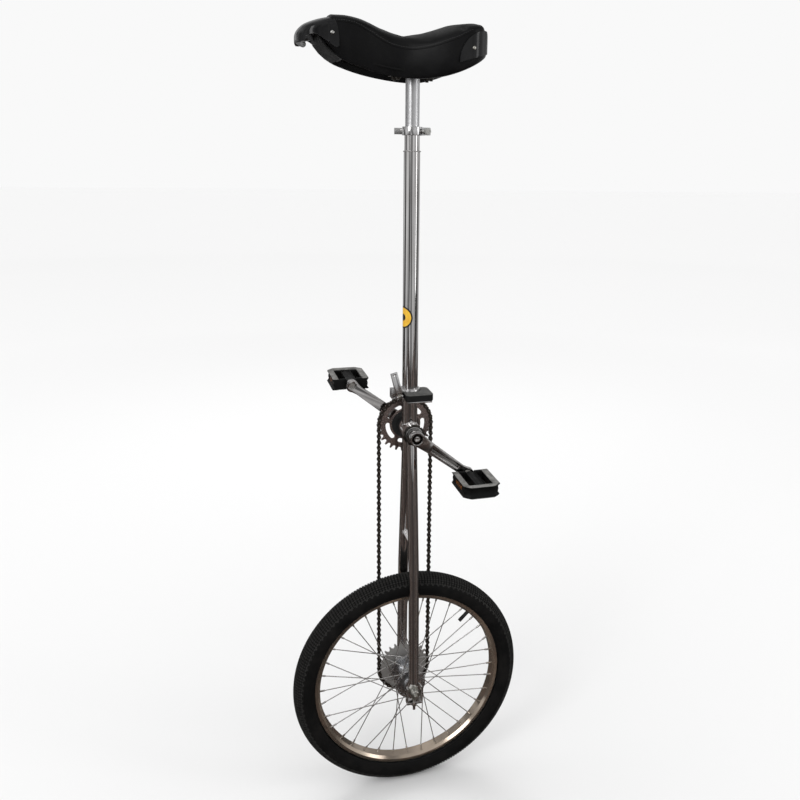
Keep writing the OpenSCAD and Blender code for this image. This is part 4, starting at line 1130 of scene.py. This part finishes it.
class UNICYCLE_OT_chain(bpy.types.Operator):
    """Roller chain: waisted plates, rollers and pins along the run round both sprockets"""
    bl_idname = "unicycle.chain"
    bl_label = "Chain"

    def execute(self, context):
        s = context.scene.unicycle_chain
        half_teeth = s.teeth // 2
        run = (s.links - s.teeth) // 2
        pitch_r = s.pitch / 2 / math.sin(math.pi / s.teeth)
        rise = (s.links - s.teeth) * s.pitch / 2

        def tooth(k, lift):
            a = math.tau * k / s.teeth
            return pitch_r * math.cos(a), lift + pitch_r * math.sin(a)

        pins = [(pitch_r, i * s.pitch) for i in range(run)]
        pins += [tooth(k, rise) for k in range(half_teeth)]
        pins += [(-pitch_r, rise - i * s.pitch) for i in range(run)]
        pins += [tooth(k, 0) for k in range(half_teeth, s.teeth)]
        turns = [-math.atan2(zb - za, xb - xa) for (xa, za), (xb, zb) in zip(pins, pins[1:] + pins[:1])]
        outline = plate_outline(s.pitch)
        outer_parts, inner_parts = [], []
        for side in (-1, 1):
            for parts, off in ((outer_parts, side * 3.5 * MM), (inner_parts, side * 2.25 * MM)):
                parts.append(prism(outline, off - 0.5 * MM, off + 0.5 * MM))
        for x in (0, s.pitch):
            pin = [(x, y * MM, 0) for y in (-4.9, -4.6, 4.6, 4.9)]
            outer_parts.append(sweep(pin, [1.2 * MM, 1.8 * MM, 1.8 * MM, 1.2 * MM], 10))
            v, f = drum(3.85 * MM, -1.7 * MM, 1.7 * MM, 14)
            inner_parts.append(([(p[0] + x, p[1], p[2]) for p in v], f))
        outer = new_object("outer_link_pattern", *joined(outer_parts))
        inner = new_object("inner_link_pattern", *joined(inner_parts))
        for o in (outer, inner):
            outward(o)
            shade(o, 35)
            pin_end = [1.0 if abs(v.co.y) > 4.3 * MM else 0.0 for v in o.data.vertices]
            o.data.attributes.new("bright", "FLOAT", "POINT").data.foreach_set("value", pin_end)
        chain = line_object("roller_chain", [(x, s.line, AXLE.z + z) for x, z in pins])
        points = chain.data.attributes
        points.new("turn", "FLOAT", "POINT").data.foreach_set("value", turns)
        points.new("inner", "BOOLEAN", "POINT").data.foreach_set("value", [i % 2 == 1 for i in range(len(pins))])
        tree_chain().run(chain, Outer_link=outer, Inner_link=inner, Material=FINISH["chain_steel"])
        for o in (outer, inner):
            bpy.data.objects.remove(o)
        finish_piece(chain, "frame", None, ("chain_outer_links", "chain_inner_links"))
        return {"FINISHED"}


# ---------- frame ----------
class UNICYCLE_OT_welds(bpy.types.Operator):
    """Rippled weld beads where the tubes, bridge and dropouts meet"""
    bl_idname = "unicycle.welds"
    bl_label = "Weld beads"

    def execute(self, context):
        shell_r = (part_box("bb_shell")[1].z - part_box("bb_shell")[0].z) / 2
        loops = []
        count = 72
        ring = []
        for k in range(count + 1):
            a = math.tau * k / count
            x, y = TUBE_R * math.cos(a), TUBE_R * math.sin(a)
            ring.append(Vector((x, y, CRANKS.z + math.sqrt(max(shell_r ** 2 - x * x, 0)) + 0.2 * MM)))
        loops.append(ring)
        tube_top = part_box("main_tube")[1].z
        loops.append([Vector((p.x, p.y, tube_top - 0.6 * MM)) for p in ring])
        leg_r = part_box("leg_right")[1].x
        bridge = middle("leg_bridge")
        bridge_r = (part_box("leg_bridge")[1].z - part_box("leg_bridge")[0].z) / 2
        top_y, mid_y, mid_z = 16.5 * MM, leg_mid_y(), 2 * TYRE_R + 12 * MM
        top_z = CRANKS.z - 8 * MM
        lean = (mid_y - top_y) / (top_z - mid_z)
        for side in (-1, 1):
            centre_y = top_y + (top_z - bridge.z) * lean
            ring = []
            for k in range(count // 2 + 1):
                a = 4 * math.pi * k / count
                x, z = bridge_r * math.cos(a), bridge_r * math.sin(a)
                y = centre_y - lean * z - math.sqrt(max(leg_r ** 2 - x * x, 0))
                ring.append(Vector((x, side * y, bridge.z + z)))
            loops.append(ring)
            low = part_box("dropout_right" if side > 0 else "dropout_left")
            face = low[0].y if side > 0 else low[1].y
            for y in (face - side * 0.2 * MM, face + side * 5.2 * MM):
                z_top, z_low = low[1].z, AXLE.z + 24 * MM
                half = leg_r - 2.4 * MM
                loops.append([Vector((-half, y, z_low)), Vector((-half, y, z_top)), Vector((half, y, z_top)),
                              Vector((half, y, z_low))])
            ring = []
            for k in range(-24, 25):
                a = math.radians(k * 5)
                x = leg_r * math.sin(a)
                y = top_y + leg_r * math.cos(a)
                ring.append(Vector((x, side * y, CRANKS.z - math.sqrt(max(shell_r ** 2 - x * x, 0)) - 0.2 * MM)))
            loops.append(ring)
        welds = paths_object("weld_beads", loops)
        tree_beads().run(welds, Spacing=1.25 * MM, Length=1.25 * MM, Width=1.35 * MM, Jitter=0.3,
                         Material=FINISH["frame_chrome"])
        finish_piece(welds, "frame")
        return {"FINISHED"}


def leg_mid_y():
    return TYRE_W / 2 + 9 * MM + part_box("leg_right")[1].x


SOFTENED = {
    "crank_left": 0.7, "crank_right": 0.7, "seat_clamp": 0.5, "step_clamp": 0.5, "seat_clamp_lever": 0.5,
    "step_lever": 0.5, "dropout_left": 0.5, "dropout_right": 0.5, "axle_nuts": 0.4,
    "hub_shell": 0.4, "bb_cup_right": 0.3, "bb_cup_left": 0.3, "bb_lockring": 0.3, "crank_bolts": 0.3,
    "saddle_plate": 0.4, "tensioner_bolts": 0.3, "tensioner_nuts": 0.3,
}


def copy_of(name):
    """A merged copy of a frame part's mesh, with its flat faces made whole."""
    bm = bmesh.new()
    bm.from_mesh(frame["nodes"][name].data)
    bmesh.ops.remove_doubles(bm, verts=bm.verts, dist=2e-6)
    bmesh.ops.dissolve_limit(bm, angle_limit=math.radians(0.6), verts=bm.verts, edges=bm.edges)
    mesh = bpy.data.meshes.new(name + "_soft")
    bm.to_mesh(mesh)
    bm.free()
    o = bpy.data.objects.new(name + "_soft", mesh)
    bpy.context.scene.collection.objects.link(o)
    return o


class UNICYCLE_OT_metalwork(bpy.types.Operator):
    """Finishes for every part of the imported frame, with softened edges on castings and mouldings"""
    bl_idname = "unicycle.metalwork"
    bl_label = "Frame parts"

    def execute(self, context):
        for name, o in frame["nodes"].items():
            o.data.materials.clear()
            o.data.materials.append(FINISH.get(name, FINISH[SLOT_OF[name]]))
        for name, width in SOFTENED.items():
            o = copy_of(name)
            m = o.modifiers.new("Edges", "BEVEL")
            m.width, m.segments, m.limit_method, m.angle_limit = width * MM, 2, "ANGLE", math.radians(38)
            bake(o)
            shade(o, 40)
            finish_piece(o, BODY_OF[name], FINISH.get(name, FINISH[SLOT_OF[name]]), (name,))
        return {"FINISHED"}


STICKER_TURN = math.radians(191)


def moulded_copy(name, voxel, passes):
    """A frame part's copy with every edge rounded as a moulding."""
    o = copy_of(name)
    m = o.modifiers.new("Voxels", "REMESH")
    m.mode, m.voxel_size = "VOXEL", voxel
    m = o.modifiers.new("Smooth", "SMOOTH")
    m.factor, m.iterations = 0.5, passes
    return bake(o)


class UNICYCLE_OT_pedals(bpy.types.Operator):
    """Moulded pedal bodies with drawn-in sides, their rubber treads, and the step's block"""
    bl_idname = "unicycle.pedals"
    bl_label = "Pedals"

    def execute(self, context):
        for side, sign in (("left", -1), ("right", 1)):
            low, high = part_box("pedal_body_" + side)
            centre, half = (low + high) / 2, (high - low) / 2
            for kind, voxel in (("body", 1.1 * MM), ("treads", 0.8 * MM)):
                name = f"pedal_{kind}_{side}"
                o = moulded_copy(name, voxel, 5)
                for v in o.data.vertices:
                    q = v.co - centre
                    rise = abs(q.z) / half.z
                    out = (5.4 * rise ** 2 - 1.2) * MM
                    v.co.x += math.copysign(out * ease((abs(q.x) - 20 * MM) / (14 * MM)), q.x)
                    v.co.y += sign * out * ease((sign * q.y - 28 * MM) / (14 * MM))
                shade(o, 55)
                finish_piece(o, BODY_OF[name], FINISH[SLOT_OF[name]], (name,))
        block = moulded_copy("step_block", 0.8 * MM, 12)
        shade(block, 60)
        finish_piece(block, "frame", FINISH["step_rubber"], ("step_block",))
        return {"FINISHED"}


class UNICYCLE_OT_decal(bpy.types.Operator):
    """Plain round sticker wrapped round the front of the main tube"""
    bl_idname = "unicycle.decal"
    bl_label = "Round sticker"

    def execute(self, context):
        radius, centre_z, off = 22.5 * MM, 1.078, TUBE_R + 0.15 * MM
        verts, faces = [], []
        rings, sides = 10, 64
        verts.append(Vector((off * math.cos(STICKER_TURN), off * math.sin(STICKER_TURN), centre_z)))
        for i in range(1, rings + 1):
            for k in range(sides):
                a = math.tau * k / sides
                u, v = radius * i / rings * math.cos(a), radius * i / rings * math.sin(a)
                t = STICKER_TURN + u / off
                verts.append(Vector((off * math.cos(t), off * math.sin(t), centre_z + v)))
        for k in range(sides):
            faces.append((0, 1 + (k + 1) % sides, 1 + k))
            for i in range(rings - 1):
                a, b = 1 + i * sides + k, 1 + i * sides + (k + 1) % sides
                faces.append((a, b, b + sides, a + sides))
        sticker = new_object("round_sticker", verts, faces)
        bm = bmesh.new()
        bm.from_mesh(sticker.data)
        bmesh.ops.recalc_face_normals(bm, faces=bm.faces)
        bm.faces.ensure_lookup_table()
        if bm.faces[0].normal.x > 0:
            bmesh.ops.reverse_faces(bm, faces=bm.faces)
        bm.to_mesh(sticker.data)
        bm.free()
        sticker.data.shade_smooth()
        uv = sticker.data.uv_layers.new(name="round")
        for loop in sticker.data.loops:
            p = sticker.data.vertices[loop.vertex_index].co
            t = math.atan2(p.y, p.x) % (math.tau)
            uv.data[loop.index].uv = ((t - STICKER_TURN) * off / radius, (p.z - centre_z) / radius)
        p = Paint("Sticker print", Coat_Weight=0.7, Coat_Roughness=0.08)
        place = p.put("ShaderNodeUVMap", uv_map="round")
        far = p.put("ShaderNodeVectorMath", {0: place}, out=1, operation="LENGTH")
        field = p.mix(p.spread(p.noise(90, 3), 0.4, 0.7, 0, 1), (0.80, 0.47, 0.02), (0.70, 0.36, 0.02))
        black = grey(0.012)
        rim = p.spread(far, 0.84, 0.87, 0, 1)
        hub = p.spread(far, 0.3, 0.33, 1, 0)
        tone = p.mix(rim, field, black)
        p.colour(p.mix(hub, tone, black))
        p.rough(p.spread(p.noise(300, 3), 0.3, 0.7, 0.25, 0.4))
        finish_piece(sticker, "frame", p.m)
        return {"FINISHED"}


# ---------- stage ----------
CAMERA_AT = (-0.3961, -1.5534, 1.3969)
CAMERA_AZIMUTH, CAMERA_DOWN, CAMERA_ROLL = (math.radians(d) for d in (-17.19, 13.38, 1.17))
CAMERA_SHIFT = (-0.0625, -0.066)
SOFTBOXES = (   # name, power, width, height, place, what it faces, whether metal reflects it
    ("key_softbox", 30, 1.0, 2.2, (-2.4, -2.0, 2.6), (0, 0, 1.0), True),
    ("fill_softbox", 12, 0.6, 2.6, (2.6, -1.6, 1.8), (0, 0, 0.9), True),
    ("back_softbox", 20, 2.0, 1.0, (0.4, 2.6, 2.8), (0, 0, 0.9), False),
)
# dark uprights in the reflected room: azimuth, cosines at the edge and in the middle, what is left of the light
DARK_BANDS = ((-24, 0.955, 0.985, 0.05), (-128, 0.985, 0.995, 0.12), (160, 0.96, 0.98, 0.10))


def square(name, half, z):
    corners = [(-half, -half, z), (half, -half, z), (half, half, z), (-half, half, z)]
    return new_object(name, corners, [(0, 1, 2, 3)])


def floor_paint():
    """Pale floor, a little darker under the lights so that it looks even."""
    p = Paint("Studio floor", Roughness=0.9, Specular_IOR_Level=0.1)
    away = p.put("ShaderNodeVectorMath", {0: p.place}, out=1, operation="LENGTH")
    p.tones(away, 0.5, 5.0, grey(0.80), grey(0.985))
    return p.m


def boards_paint():
    """Dark boards with pale streaks that run outwards, seen only in polished metal."""
    p = Paint("Workshop floor", Roughness=0.6)
    way = p.put("ShaderNodeVectorMath", {0: p.place}, operation="NORMALIZE")
    streaks = p.noise(4.6, 3, 0.7, way)
    tone = p.mix(p.spread(streaks, 0.44, 0.56, 0, 1), (0.008, 0.005, 0.0035), (0.10, 0.055, 0.038))
    p.tones(streaks, 0.59, 0.64, tone, (0.80, 0.74, 0.69))
    return p.m


def room_paint():
    """Glow of the reflected room, in soft patches and dark uprights."""
    p = Paint("Reflected room")
    way = p.put("ShaderNodeVectorMath", {0: p.place}, operation="NORMALIZE")
    tone = p.spread(p.noise(2.3, 2, 0.5, way), 0.40, 0.58, 0.15, 0.72)
    for azimuth, edge, middle_of, left in DARK_BANDS:
        a = math.radians(azimuth)
        toward = p.put("ShaderNodeVectorMath", {0: way, 1: (math.cos(a), math.sin(a), 0)}, out=1,
                       operation="DOT_PRODUCT")
        tone = p.math("MULTIPLY", tone, p.spread(toward, edge, middle_of, 1.0, left))
    p.nodes.remove(p.shader)
    glow = p.put("ShaderNodeEmission", {"Color": tone})
    p.links.new(glow, p.nodes["Material Output"].inputs["Surface"])
    return p.m


def room_dome():
    radius, around, up = 10, 48, 6
    rings = []
    for e in range(-up, up + 1):
        level = e * math.pi / 2 / up
        rings.append([Vector((radius * math.cos(math.tau * a / around) * math.cos(level),
                              radius * math.sin(math.tau * a / around) * math.cos(level),
                              radius * math.sin(level))) for a in range(around)])
    dome = new_object("reflected_room", *loft(rings, caps=False))
    outward(dome)
    return dome


def add_softbox(name, power, width, height, place, faces, shows):
    light = bpy.data.lights.new(name, "AREA")
    light.shape, light.size, light.size_y, light.energy = "RECTANGLE", width, height, power
    o = bpy.data.objects.new(name, light)
    bpy.context.scene.collection.objects.link(o)
    o.location = place
    o.rotation_euler = (Vector(faces) - Vector(place)).to_track_quat("-Z", "Y").to_euler()
    o.visible_glossy = shows


class UNICYCLE_OT_stage(bpy.types.Operator):
    """Pale floor, soft studio light and the camera"""
    bl_idname = "unicycle.stage"
    bl_label = "Stage and camera"

    def execute(self, context):
        s = context.scene.unicycle_stage
        scene = context.scene
        floor = square("studio_floor", 30, 0)
        boards = square("workshop_floor", 3.6, -1 * MM)
        dome = room_dome()
        for o, paint in ((floor, floor_paint()), (boards, boards_paint()), (dome, room_paint())):
            o.data.materials.append(paint)
        floor.visible_glossy = False
        for o in (boards, dome):
            o.visible_camera = o.visible_diffuse = o.visible_shadow = o.visible_transmission = False

        scene.world = bpy.data.worlds.new("Studio")
        scene.world.use_nodes = True
        scene.world.node_tree.nodes["Background"].inputs["Color"].default_value = (*s.backdrop, 1)
        for softbox in SOFTBOXES:
            add_softbox(*softbox)
        scene.view_settings.view_transform = "Standard"
        scene.view_settings.exposure = 0.0

        camera = bpy.data.objects.new("camera", bpy.data.cameras.new("camera"))
        scene.collection.objects.link(camera)
        camera.data.sensor_width, camera.data.lens = 36, s.lens
        camera.data.shift_x, camera.data.shift_y = CAMERA_SHIFT
        flat = math.cos(CAMERA_DOWN)
        look = Vector((-math.sin(CAMERA_AZIMUTH) * flat, math.cos(CAMERA_AZIMUTH) * flat, -math.sin(CAMERA_DOWN)))
        level = Vector((math.cos(CAMERA_AZIMUTH), math.sin(CAMERA_AZIMUTH), 0))
        upright = level.cross(look)
        right = level * math.cos(CAMERA_ROLL) + upright * math.sin(CAMERA_ROLL)
        up = upright * math.cos(CAMERA_ROLL) - level * math.sin(CAMERA_ROLL)
        camera.matrix_world = Matrix((*zip(right, up, -look, CAMERA_AT), (0, 0, 0, 1)))
        scene.camera = camera
        return {"FINISHED"}


class UNICYCLE_PT_panel(bpy.types.Panel):
    """Lists the steps that dress the unicycle"""
    bl_idname = "UNICYCLE_PT_panel"
    bl_label = "Unicycle"
    bl_space_type = "VIEW_3D"
    bl_region_type = "UI"
    bl_category = "Unicycle"

    def draw(self, context):
        for name in GROUPS:
            group = getattr(context.scene, name)
            for key in group.__annotations__:
                self.layout.prop(group, key)
        for step in STEPS:
            self.layout.operator(step.bl_idname)


STEPS = (UNICYCLE_OT_metalwork, UNICYCLE_OT_welds, UNICYCLE_OT_pedals, UNICYCLE_OT_decal, UNICYCLE_OT_tyre,
         UNICYCLE_OT_spokes, UNICYCLE_OT_chain, UNICYCLE_OT_saddle_cover, UNICYCLE_OT_bumpers, UNICYCLE_OT_stage)
GROUPS = {"unicycle_wheel": WheelSizes, "unicycle_chain": ChainSizes, "unicycle_saddle": SaddleSizes,
          "unicycle_finishes": Finishes, "unicycle_stage": StageSettings}


def register():
    for c in (*GROUPS.values(), *STEPS, UNICYCLE_PT_panel):
        bpy.utils.register_class(c)
    for name, group in GROUPS.items():
        setattr(bpy.types.Scene, name, PointerProperty(type=group))


def unregister():
    for name in GROUPS:
        delattr(bpy.types.Scene, name)
    for c in (UNICYCLE_PT_panel, *reversed(STEPS), *reversed(GROUPS.values())):
        bpy.utils.unregister_class(c)


def main():
    register()
    FINISH.update(make_finishes(bpy.context.scene.unicycle_finishes))
    for step in STEPS:
        getattr(bpy.ops.unicycle, step.bl_idname.split(".")[1])()


if __name__ == "__main__":
    main()
